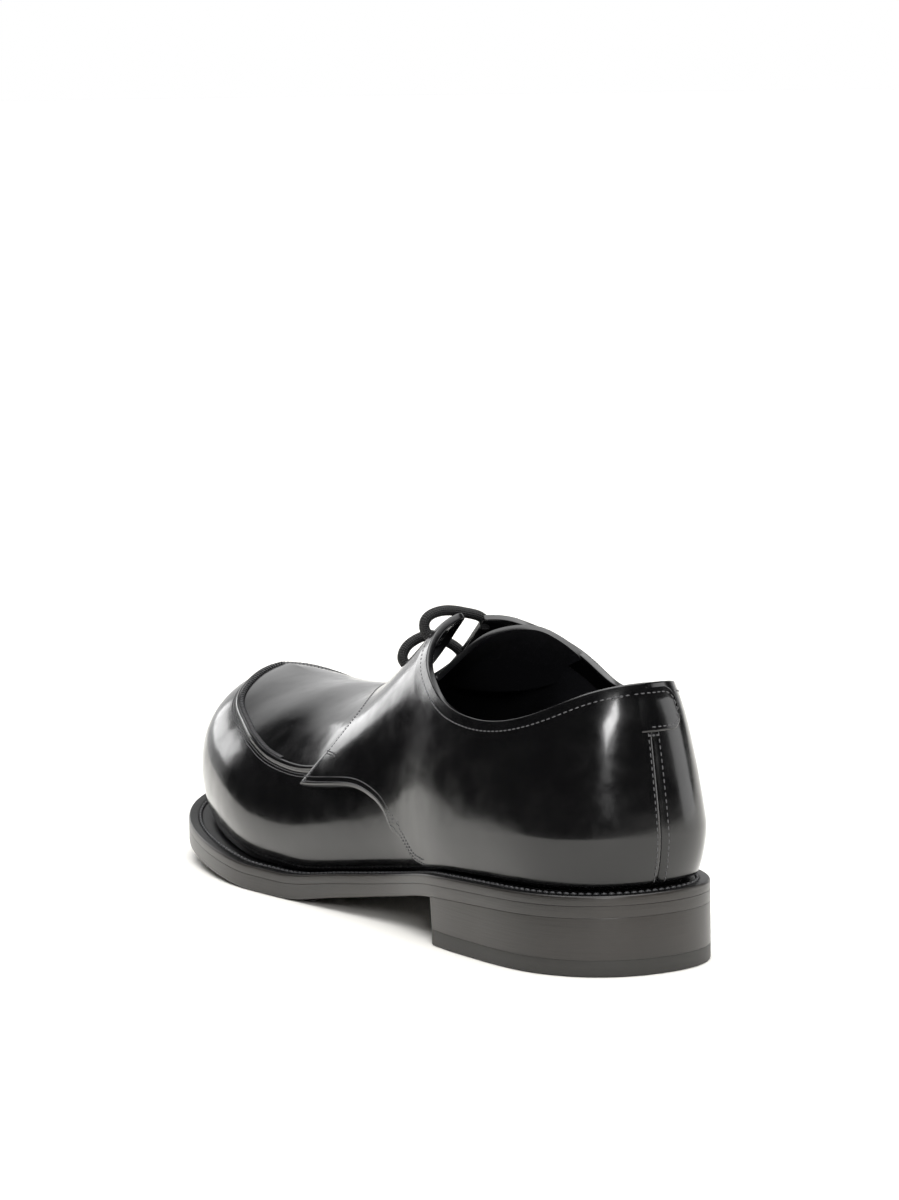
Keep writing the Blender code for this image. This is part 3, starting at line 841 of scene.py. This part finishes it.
def strap_row():
    """Distances and drops along the strap's stitch row, out below and back above."""
    corner = STRAP_CORNER - STRAP_ROW
    straight = STRAP_REACH - STRAP_ROW - corner
    low = STRAP_DROP - STRAP_ROW
    turn = np.linspace(0.0, np.pi / 2, 8)[1:]
    distance = np.r_[np.linspace(-1.0, straight, 14),
                     straight + corner * np.sin(turn),
                     straight + corner * np.cos(turn),
                     np.linspace(straight, STRAP_START, 20)[1:]]
    drop = np.r_[np.full(14, low),
                 low - corner + corner * np.cos(turn),
                 COLLAR_ROW + corner * 0.8 * (1.0 - np.sin(turn)),
                 np.full(19, COLLAR_ROW)]
    return distance, drop


def make_stitching(thread):
    """Thread rows of the quarters, the strap and the bar tacks."""
    for name, side in (("lateral", 1), ("medial", -1)):
        stitches("stitching_" + name, seam_lines(side), thread,
                 pitch=1.4, length=1.0, height=0.35)
        stitches("collar_row_" + name, collar_lines(side), thread)
    distance, drop = strap_row()
    stitches("stitching_strap",
             [strap_line(distance, drop, strap_out(distance, drop))], thread)
    bars = []
    for height in FRONT_TACK_HEIGHTS:
        share, rise = locate(1, np.array(FRONT_TACK_STATIONS), np.full(2, height))
        bars.append((surface_point(1, share, rise, QUARTER_OUT), normal_of(1, share, rise)))
    for distance, drop in BACK_TACKS:
        bars.append(strap_line(np.array(distance), np.array(drop), QUARTER_OUT - 0.1))
    stitches("bar_tacks", bars, thread, pitch=1.5, length=1.3, width=0.8, height=0.6)


def apron_line(side):
    """Share and rise along the apron's edge, from under the quarter to the front."""
    share, rise = locate(side, *np.array(APRON_SIDE + (APRON_FRONT,)).T)
    share[-1] = 1.0
    steps = np.linspace(share[0] - 0.02, 1.0, 150)
    return steps, smooth_curve(share, rise)(steps)


def make_apron_ridge(leather, thread):
    """Raised ridge round the apron, with stitch rows outside it and whipping inside."""
    strips = []
    rows = []
    ticks = []
    for side in (1, -1):
        share, rise = apron_line(side)
        order = slice(None) if side > 0 else slice(None, None, -1)
        strips.append(np.stack([beside(side, share, rise, -side * across, lift)[0][order]
                                for across, lift in RIDGE_PROFILE], 1))
        bare = slice(6, None)
        for away, lift in APRON_ROWS:
            rows.append(beside(side, share[bare], rise[bare], side * away, lift))
        inner, leans = beside(side, share, rise, -side * 2.3, 0.2)
        outer = beside(side, share, rise, -side * 0.9, 1.35)[0]
        run = running_length(inner)
        for at in np.arange(30.0, run[-1], WHIPPING_PITCH):
            ends = np.array([value_at(line, run, at) for line in (inner, outer)])
            ticks.append((ends, np.tile(value_at(leans, run, at), (2, 1))))
    joined = np.concatenate([strips[0], strips[1][1:]])
    ridge = grid_object("apron_ridge_bead", joined, leather)
    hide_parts("apron_ridge")
    stitches("stitching_apron", rows, thread, pitch=1.35, length=0.95, height=0.35)
    stitches("whipping_apron", ticks, thread, pitch=9.0, length=1.9)


# Tongue from its top edge down, each row across from lateral to medial: across,
# station, height.
TONGUE_NET = (
    ((19.8, 119.0, 90.5), (16.8, 119.0, 91.8), (5.6, 119.0, 100.0), (-5.2, 117.5, 105.9),
     (-14.1, 108.5, 108.0), (-18.6, 99.5, 106.0), (-23.1, 92.0, 101.0), (-27.1, 87.5, 94.8)),
    ((20.5, 128.0, 84.5), (16.0, 128.0, 87.5), (6.0, 128.0, 94.5), (-4.5, 126.5, 99.5),
     (-13.5, 121.0, 102.0), (-19.0, 115.0, 99.5), (-23.5, 110.0, 94.5), (-27.0, 106.0, 88.0)),
    ((19.0, 148.0, 79.5), (14.5, 148.0, 82.0), (6.5, 148.0, 85.0), (-4.0, 147.5, 87.5),
     (-11.5, 146.0, 88.5), (-17.0, 144.0, 86.5), (-21.0, 142.0, 83.0), (-24.0, 140.0, 79.5)),
    ((7.5, 172.0, 78.0), (4.0, 172.0, 79.6), (0.0, 172.0, 80.6), (-5.0, 172.0, 81.0),
     (-9.0, 172.0, 80.7), (-13.0, 172.0, 79.8), (-16.5, 171.0, 78.4), (-18.5, 170.0, 77.2)),
)


def make_tongue(leather, edge_look):
    """Tongue from its top edge, which leans against the inner side, down to the vamp."""
    net = np.array(TONGUE_NET)
    levels, width = net.shape[:2]
    across = smooth_curve(np.arange(width), net.transpose(1, 0, 2).reshape(width, -1))(
        np.linspace(0.0, width - 1, 71)).reshape(71, levels, 3)
    down = np.array((0.0, 0.9, 2.8, 5.2))
    rows = smooth_curve(down, across.transpose(1, 0, 2).reshape(levels, -1))(
        np.linspace(0.0, down[-1], 61)).reshape(61, 71, 3)
    tongue = grid_object("tongue_leather", rows[:, ::-1], [leather, edge_look])
    wall = tongue.modifiers.new("thickness", "SOLIDIFY")
    wall.thickness = TONGUE_WALL * MM
    wall.offset = -1.0
    wall.material_offset_rim = 1
    bevel = tongue.modifiers.new("rounded edges", "BEVEL")
    bevel.width = TONGUE_ROUND * MM
    bevel.segments = 3
    bevel.limit_method = "ANGLE"
    bevel.angle_limit = math.radians(50)
    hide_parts("tongue")


def ring_plan(inset, ribs):
    """Plan points of a ring inside the sole's edge, out along one side and back."""
    shares = np.linspace(0.0, 1.0, ribs + 1)
    lateral = plan_inset(1, shares, np.broadcast_to(inset(1, shares), shares.shape))
    medial = plan_inset(-1, shares, np.broadcast_to(inset(-1, shares), shares.shape))
    return np.concatenate([lateral, medial[-2:0:-1]])


def outsole_top(station):
    """Top face of the outsole, under the welt."""
    return sole_top(station) - WELT_THICKNESS - GAP


def feather_depth(side, share):
    """Distance of the feather inside the sole's edge."""
    station = plan_edge(side, share)[0][..., 1]
    return WIDE_INSET[side](station) + FEATHER_INSET(station)


def ladder(name, rings, look, capped=True):
    """Body between stacked rings; each ring runs out one side and back the other."""
    rings = np.asarray(rings)
    levels, count = rings.shape[:2]
    i, j = np.meshgrid(np.arange(levels - 1), np.arange(count), indexing="ij")
    ahead = (j + 1) % count
    faces = np.stack([i * count + j, i * count + ahead,
                      (i + 1) * count + ahead, (i + 1) * count + j], -1).reshape(-1, 4)
    faces = [tuple(f) for f in faces]
    for first in (0, (levels - 1) * count) if capped else ():
        low, high = 1, count - 1
        faces.append((first, first + low, first + high))
        while high - low > 2:
            faces.append((first + low, first + low + 1, first + high - 1, first + high))
            low += 1
            high -= 1
        if high - low == 2:
            faces.append((first + low, first + low + 1, first + high))
    thing = mesh_of(name, to_metres(rings).reshape(-1, 3), faces, look)
    shape = bmesh.new()
    shape.from_mesh(thing.data)
    bmesh.ops.recalc_face_normals(shape, faces=shape.faces)
    shape.to_mesh(thing.data)
    shape.free()
    thing.data.set_sharp_from_angle(angle=math.radians(60))
    return thing


def edge_ring(inset, height):
    """Ring at an inset from the sole's edge and a height by station."""
    flat = ring_plan(lambda side, share: inset, 180)
    return np.c_[flat, height(np.clip(flat[:, 1], 0.0, SOLE_LENGTH))]


def make_sole(edge, welt_look):
    """Outsole with dressed edges, and the welt with its grooved top face."""
    curl = ((0.9, 0.0), (0.35, 0.18), (0.08, 0.5), (0.0, 0.95))
    rings = [edge_ring(i, lambda s, d=d: SOLE_UNDER(s) + d) for i, d in curl]
    rings += [edge_ring(i, lambda s, d=d: outsole_top(s) + GAP - d)
              for i, d in ((0.0, 0.2), (0.01, 0.12), (0.04, 0.1))]
    sole = ladder("outsole_leather", rings, edge)
    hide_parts("outsole")
    rings = [edge_ring(i, lambda s, d=d: outsole_top(s) + GAP + d)
             for i, d in ((3.0, 0.0), (0.04, 0.0), (0.01, 0.03), (0.0, 0.1))]
    rings += [edge_ring(i, lambda s, d=d: sole_top(s) + d)
              for i, d in ((0.0, -0.9), (0.12, -0.45), (0.45, -0.12))]
    side = ladder("welt_edge", rings, edge, capped=False)
    rings = [edge_ring(i, lambda s, d=d: sole_top(s) + d) for i, d in WELT_TOP]
    top = ladder("welt_top", rings, welt_look, capped=False)
    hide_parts("welt")
    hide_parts("welt")


def welt_stitches(thread):
    """Heavy stitches that lie in the welt's groove."""
    lines = []
    for side in (1, -1):
        shares = np.linspace(0.0, 1.0, 500)
        plan = plan_inset(side, shares, np.full(500, WELT_ROW))
        line = np.c_[plan, sole_top(plan[:, 1]) - 0.25]
        lines.append((line, np.tile((0.0, 0.0, 1.0), (500, 1))))
    stitches("stitching_welt", lines, thread, pitch=2.7, length=2.2, width=1.3, height=0.8)


def heel_ring(height_of, lean, inset):
    """Ring of the heel: the sole's own edge back from the breast."""
    turn = np.linspace(0.0, 1.0, 90)
    lateral = plan_inset(1, turn * share_at(1, HEEL_BREAST - lean), inset)
    medial = plan_inset(-1, turn * share_at(-1, HEEL_BREAST - lean), inset)
    plan = np.concatenate([lateral, medial[:0:-1]])
    return np.c_[plan, height_of(np.clip(plan[:, 1], 0.0, SOLE_LENGTH))]


def make_heel(edge, rubber):
    """Heel of stacked lifts on a rubber top lift."""
    rings = []
    for inset, depth in ((0.05, 0.05), (0.01, 0.08), (0.0, 0.2)):
        rings.append(heel_ring(
            lambda s, d=depth: np.full_like(s, LIFT_HEIGHT + d), BREAST_LEAN, inset))
    for inset, depth in ((0.0, 0.3), (0.03, 0.1), (0.1, 0.0)):
        rings.append(heel_ring(lambda s, d=depth: SOLE_UNDER(s) + 0.5 - d, 0.0, inset))
    heel = ladder("heel_lifts", rings, edge)
    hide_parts("heel_stack")
    rings = []
    for inset, height in ((0.9, 0.0), (0.3, 0.2), (0.0, 0.7), (0.0, 5.9), (0.01, 5.96),
                          (0.05, 6.0)):
        rings.append(heel_ring(lambda s, h=height: np.full_like(s, h), BREAST_LEAN, inset))
    lift = ladder("top_lift_rubber", rings, rubber)
    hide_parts("top_lift")


def tube(name, points, radius, look, sides=16):
    """Round cord along points in millimetres, with rounded ends."""
    points = np.asarray(points, float)
    ahead = np.gradient(points, axis=0)
    ahead /= np.linalg.norm(ahead, axis=1, keepdims=True)
    verts, faces = [], []
    ring = np.linspace(0.0, 2 * np.pi, sides + 1)[:-1]
    side_way = np.cross(ahead[0], (0.0, 1.0, 0.0))
    for k, (place, way) in enumerate(zip(points, ahead)):
        side_way = side_way - way * side_way.dot(way)
        side_way /= np.linalg.norm(side_way)
        over = np.cross(way, side_way)
        fat = 0.35 if k in (0, len(points) - 1) else 1.0
        for angle in ring:
            verts.append(place + (side_way * math.cos(angle) + over * math.sin(angle))
                         * radius * fat)
    for k in range(len(points) - 1):
        for r in range(sides):
            a, b = k * sides + r, k * sides + (r + 1) % sides
            faces.append((a, b, b + sides, a + sides))
    faces.append(tuple(range(sides - 1, -1, -1)))
    faces.append(tuple((len(points) - 1) * sides + r for r in range(sides)))
    thing = mesh_of(name, to_metres(verts), faces, look)
    layer = thing.data.uv_layers.new(name="along")
    run = running_length(points)
    for face in thing.data.polygons:
        turns = [thing.data.loops[i].vertex_index % sides for i in face.loop_indices]
        wrap = max(turns) - min(turns) > sides // 2 and len(turns) == 4
        for i, r in zip(face.loop_indices, turns):
            v = thing.data.loops[i].vertex_index
            around = (r + sides if wrap and r < sides // 2 else r) / sides
            layer.data[i].uv = (around, run[v // sides])
    return thing


# Middle lines of the lace crossings, from the lateral eyelet to the medial one.
LACE_PATHS = (
    ((9.0, 140.0, 99.5), (9.7, 140.0, 102.0), (11.8, 141.5, 105.9), (11.5, 142.0, 109.2),
     (7.6, 142.0, 111.9), (1.2, 141.0, 112.5), (-5.9, 140.0, 111.0), (-12.2, 139.0, 107.8),
     (-12.6, 139.0, 104.0)),
    ((9.2, 158.0, 87.0), (10.1, 158.0, 89.6), (11.7, 159.0, 92.3), (10.9, 159.5, 95.6),
     (6.4, 159.0, 99.4), (0.4, 158.0, 100.9), (-6.3, 157.5, 98.1), (-12.9, 157.0, 92.2),
     (-13.4, 157.0, 88.5)),
)


def make_laces(lace):
    """Two arched crossings that go down through their eyelets."""
    for index, path in enumerate(LACE_PATHS, start=1):
        path = np.array(path)
        run = running_length(path)
        points = smooth_curve(run, path)(np.linspace(0.0, run[-1], 80))
        cord = tube(f"lace_{index}", points, LACE_RADIUS, lace)
        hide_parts(f"lace_crossing_{index}")


def make_insole(leather):
    """Insole with a thin sock over it, inside the shoe."""
    rings = []
    for inset, height in ((0.0, GAP), (0.0, 2.6), (0.3, 3.1), (0.9, 3.3)):
        inside = UPPER_WALL + 1.0 + inset
        flat = ring_plan(lambda side, share: feather_depth(side, share) + inside, 120)
        rings.append(np.c_[flat, sole_top(flat[:, 1]) + height])
    inner = ladder("insole_and_sock", rings, leather)
    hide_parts("insole")


def srgb(code):
    """Linear colour from a hex code."""
    parts = [int(code[i:i + 2], 16) / 255 for i in (1, 3, 5)]
    return tuple(c / 12.92 if c < 0.04045 else ((c + 0.055) / 1.055) ** 2.4 for c in parts)


def node(tree, kind, links=(), **settings):
    """Adds a node, sets its values and links its inputs."""
    made = tree.nodes.new(kind)
    for key, value in settings.items():
        setattr(made, key, value)
    for name, source in links:
        if isinstance(source, bpy.types.NodeSocket):
            tree.links.new(source, made.inputs[name])
        else:
            made.inputs[name].default_value = source
    return made


def base_material(name, color, roughness):
    """Principled material and its tree, shader and object coordinates in millimetres."""
    made = bpy.data.materials.new(name)
    made.use_nodes = True
    tree = made.node_tree
    shader = tree.nodes["Principled BSDF"]
    shader.inputs["Base Color"].default_value = (*srgb(color), 1.0)
    shader.inputs["Roughness"].default_value = roughness
    place = node(tree, "ShaderNodeTexCoord")
    size = node(tree, "ShaderNodeVectorMath",
                [(0, place.outputs["Object"]), (1, (1 / MM,) * 3)], operation="MULTIPLY")
    return made, tree, shader, size.outputs["Vector"]


def noise(tree, place, scale, detail, roughness=0.5):
    """Noise over coordinates in millimetres."""
    return node(tree, "ShaderNodeTexNoise",
                [("Vector", place), ("Scale", scale), ("Detail", detail),
                 ("Roughness", roughness)]).outputs["Fac"]


def add_bump(tree, shader, height, strength, depth):
    """Bump of a depth in millimetres over the bump that a shader already has."""
    bump = node(tree, "ShaderNodeBump",
                [("Height", height), ("Strength", strength), ("Distance", depth * MM)])
    for link in shader.inputs["Normal"].links:
        tree.links.new(link.from_socket, bump.inputs["Normal"])
    tree.links.new(bump.outputs["Normal"], shader.inputs["Normal"])
    return bump.outputs["Normal"]


def add_tint(tree, shader, mix, first, second):
    """Base colour that drifts between two colours."""
    tint = node(tree, "ShaderNodeMixRGB",
                [("Fac", mix), ("Color1", (*srgb(first), 1.0)),
                 ("Color2", (*srgb(second), 1.0))])
    tree.links.new(tint.outputs["Color"], shader.inputs["Base Color"])


def grained(name, color, roughness, scale, detail, strength, depth):
    """Plain material with a bump of fine noise."""
    made, tree, shader, place = base_material(name, color, roughness)
    add_bump(tree, shader, noise(tree, place, scale, detail), strength, depth)
    return made


def polished_leather():
    """Black box calf with a hard polish: a clear, slightly uneven mirror over fine grain."""
    made, tree, shader, place = base_material("black polished calf", "#0b0b0c", 0.22)
    smear = node(tree, "ShaderNodeMapRange",
                 [("Value", noise(tree, place, 0.12, 4.0, 0.6)), ("From Min", 0.35),
                  ("From Max", 0.7), ("To Min", 0.14), ("To Max", 0.26)])
    tree.links.new(smear.outputs["Result"], shader.inputs["Roughness"])
    grain = node(tree, "ShaderNodeTexVoronoi", [("Vector", place), ("Scale", 1.6)],
                 feature="DISTANCE_TO_EDGE")
    add_bump(tree, shader, grain.outputs["Distance"], 0.05, 0.2)
    pull = add_bump(tree, shader, noise(tree, place, 0.045, 2.0), 0.2, 1.0)
    shader.inputs["IOR"].default_value = 1.45
    shader.inputs["Coat Weight"].default_value = 0.3
    shader.inputs["Coat Roughness"].default_value = 0.05
    tree.links.new(pull, shader.inputs["Coat Normal"])
    return made


def lining_leather():
    """Dull black lining leather with a fine pore pattern."""
    made, tree, shader, place = base_material("black lining leather", "#0d0d0f", 0.55)
    add_tint(tree, shader, noise(tree, place, 0.08, 4.0), "#161619", "#222226")
    pores = node(tree, "ShaderNodeTexVoronoi", [("Vector", place), ("Scale", 1.1)])
    add_bump(tree, shader, pores.outputs["Distance"], 0.25, 0.2)
    return made


def sole_edge():
    """Inked and waxed sole leather edge with faint lift lines and a warm cast."""
    made, tree, shader, place = base_material("black waxed sole edge", "#21201e", 0.4)
    add_tint(tree, shader, noise(tree, place, 0.03, 2.0), "#1c1c1b", "#2c2723")
    squash = node(tree, "ShaderNodeVectorMath", [(0, place), (1, (0.05, 0.05, 1.4))],
                  operation="MULTIPLY")
    fibres = noise(tree, squash.outputs["Vector"], 1.0, 3.0)
    add_bump(tree, shader, fibres, 0.18, 0.4)
    shader.inputs["Coat Weight"].default_value = 0.25
    shader.inputs["Coat Roughness"].default_value = 0.3
    return made


def welt_top():
    """Top face of the welt, inked black and left dull."""
    made = grained("black inked welt", "#0e0e0f", 0.42, 0.8, 3.0, 0.2, 0.3)
    made.node_tree.nodes["Principled BSDF"].inputs["IOR"].default_value = 1.35
    return made


def thread_material(name, color):
    """Waxed black thread with a twist, in a given colour; the grey it is given, lighter than
    black, is a painted highlight for the glints on the stitches.
    """
    made, tree, shader, place = base_material(name, color, 0.45)
    twist = node(tree, "ShaderNodeTexWave", [("Vector", place), ("Scale", 0.9),
                                             ("Distortion", 1.0)], bands_direction="DIAGONAL")
    add_bump(tree, shader, twist.outputs["Fac"], 0.4, 0.1)
    return made


# Braid of the lace: strands round it, and length of one crossing.
BRAID_STRANDS = 8.0
BRAID_LENGTH = 1.6


def lace_material():
    """Round waxed lace, a braid of small crossing strands."""
    made, tree, shader, _ = base_material("black waxed lace", "#0e0e0f", 0.55)
    along = node(tree, "ShaderNodeUVMap", uv_map="along")
    split = node(tree, "ShaderNodeSeparateXYZ", [("Vector", along.outputs["UV"])])
    waves = []
    for sign in (1.0, -1.0):
        turn = node(tree, "ShaderNodeMath",
                    [(0, split.outputs["X"]), (1, sign * BRAID_STRANDS * 2 * math.pi)],
                    operation="MULTIPLY")
        run = node(tree, "ShaderNodeMath",
                   [(0, split.outputs["Y"]), (1, 2 * math.pi / BRAID_LENGTH),
                    (2, turn.outputs[0])], operation="MULTIPLY_ADD")
        waves.append(node(tree, "ShaderNodeMath", [(0, run.outputs[0])], operation="SINE"))
    braid = node(tree, "ShaderNodeMath",
                 [(0, waves[0].outputs[0]), (1, waves[1].outputs[0])], operation="MULTIPLY")
    add_bump(tree, shader, braid.outputs[0], 0.7, 0.3)
    return made


# Floor by distance along the line of view and to the right of it, in metres. It
# narrows on the left towards the viewer, so that less of it is mirrored in the leather.
FLOOR_CORNERS = ((-3.5, -0.05), (-3.5, 2.6), (9.0, 2.6), (9.0, -2.6))


def make_stage():
    """Pale floor, laid along the line of view."""
    ahead = np.array(BACKDROP_WAY[:2])
    right = np.array((ahead[1], -ahead[0]))
    corners = [ahead * far + right * off for far, off in FLOOR_CORNERS]
    mesh = bpy.data.meshes.new("floor")
    mesh.from_pydata([(x, y, 0.0) for x, y in corners], [], [(3, 2, 1, 0)])
    floor = bpy.data.objects.new("floor", mesh)
    bpy.context.scene.collection.objects.link(floor)
    mesh.materials.append(grained("pale studio floor", "#fbf9f4", 0.9, 0.6, 2.0, 0.1, 0.2))


def area_light(name, place, aim, width, height, power, long_way=(0.0, 0.0, 1.0)):
    """Soft box at a place, turned towards a point, its height along a given way."""
    data = bpy.data.lights.new(name, "AREA")
    data.shape = "RECTANGLE"
    data.size = width
    data.size_y = height
    data.energy = power
    light = bpy.data.objects.new(name, data)
    bpy.context.scene.collection.objects.link(light)
    back = (Vector(place) - Vector(aim)).normalized()
    across = Vector(long_way).cross(back).normalized()
    turn = Matrix((across, back.cross(across), back)).transposed()
    light.matrix_world = Matrix.Translation(place) @ turn.to_4x4()


def make_lights():
    """Dark studio: a bright ceiling, a lit backdrop, a soft box and two large cards."""
    world = bpy.data.worlds.new("studio")
    bpy.context.scene.world = world
    world.use_nodes = True
    tree = world.node_tree
    place = node(tree, "ShaderNodeTexCoord")
    split = node(tree, "ShaderNodeSeparateXYZ", [("Vector", place.outputs["Generated"])])
    ahead = node(tree, "ShaderNodeVectorMath",
                 [(0, place.outputs["Generated"]), (1, BACKDROP_WAY)], operation="DOT_PRODUCT")
    backdrop = node(tree, "ShaderNodeMapRange",
                    [("Value", ahead.outputs["Value"]), ("From Min", 0.66), ("From Max", 0.86),
                     ("To Min", 0.012), ("To Max", 1.0)], interpolation_type="SMOOTHSTEP")
    ceiling = node(tree, "ShaderNodeMapRange",
                   [("Value", split.outputs["Z"]), ("From Min", 0.70), ("From Max", 0.86),
                    ("To Min", 0.0), ("To Max", 3.8)], interpolation_type="SMOOTHSTEP")
    both = node(tree, "ShaderNodeMath", [(0, backdrop.outputs["Result"]),
                                         (1, ceiling.outputs["Result"])], operation="ADD")
    back = tree.nodes["Background"]
    tree.links.new(both.outputs["Value"], back.inputs["Color"])
    area_light("window", (0.58, 1.30, 0.67), (0.01, 0.03, 0.09), 0.26, 0.42, 8.0,
               long_way=(0.19, -0.05, -0.11))
    area_light("card ahead of the toe", (0.22, -2.05, 0.52), (0.03, -0.09, 0.08),
               0.66, 0.42, 2.8)
    area_light("card on the inner side", (-1.90, 0.63, 0.42), (0.0, 0.03, 0.07),
               0.95, 0.95, 5.5)
    bpy.context.scene.view_settings.view_transform = "Standard"


BACKDROP_WAY = (-0.4965, -0.8680, 0.0)
CAMERA_PLACE = (0.83373, 1.35606, 0.36101)
CAMERA_FORWARD = (-0.491327, -0.858926, -0.144372)
CAMERA_RIGHT = (-0.866927, 0.498240, -0.013902)
CAMERA_LENS = 135.8


def make_camera():
    """Camera of the photograph: behind the shoe, on its outer side, a little above it."""
    data = bpy.data.cameras.new("camera")
    data.lens = CAMERA_LENS
    data.sensor_width = 36.0
    data.clip_start = 0.05
    data.clip_end = 60.0
    camera = bpy.data.objects.new("camera", data)
    bpy.context.scene.collection.objects.link(camera)
    forward = Vector(CAMERA_FORWARD).normalized()
    right = Vector(CAMERA_RIGHT).normalized()
    up = right.cross(forward)
    turn = Matrix((right, up, -forward)).transposed()
    camera.matrix_world = Matrix.Translation(CAMERA_PLACE) @ turn.to_4x4()
    bpy.context.scene.camera = camera


def main():
    leather = polished_leather()
    lining = lining_leather()
    edge = sole_edge()
    cut_edge = grained("black cut edge", "#09090a", 0.7, 1.2, 3.0, 0.2, 0.3)
    rubber = grained("black heel rubber", "#2e2d2b", 0.5, 1.5, 3.0, 0.12, 0.3)
    # The thread is grey, lighter than black thread: a painted highlight that stands in for the
    # glints on the stitches.
    thread = thread_material("black waxed thread with painted sheen", "#4e4e50")
    make_vamp(leather, lining)
    make_quarter("quarter_lateral", 1, leather, cut_edge)
    make_quarter("quarter_medial", -1, leather, cut_edge)
    make_strap(leather)
    make_apron_ridge(leather, thread)
    make_tongue(lining, leather)
    make_laces(lace_material())
    make_stitching(thread)
    make_sole(edge, welt_top())
    make_heel(edge, rubber)
    # The welt thread is grey too, lighter than black: a painted highlight for the glints on
    # its stitches.
    welt_stitches(thread_material("black welt thread with painted sheen", "#48484a"))
    make_insole(lining)
    make_stage()
    make_lights()
    make_camera()


main()
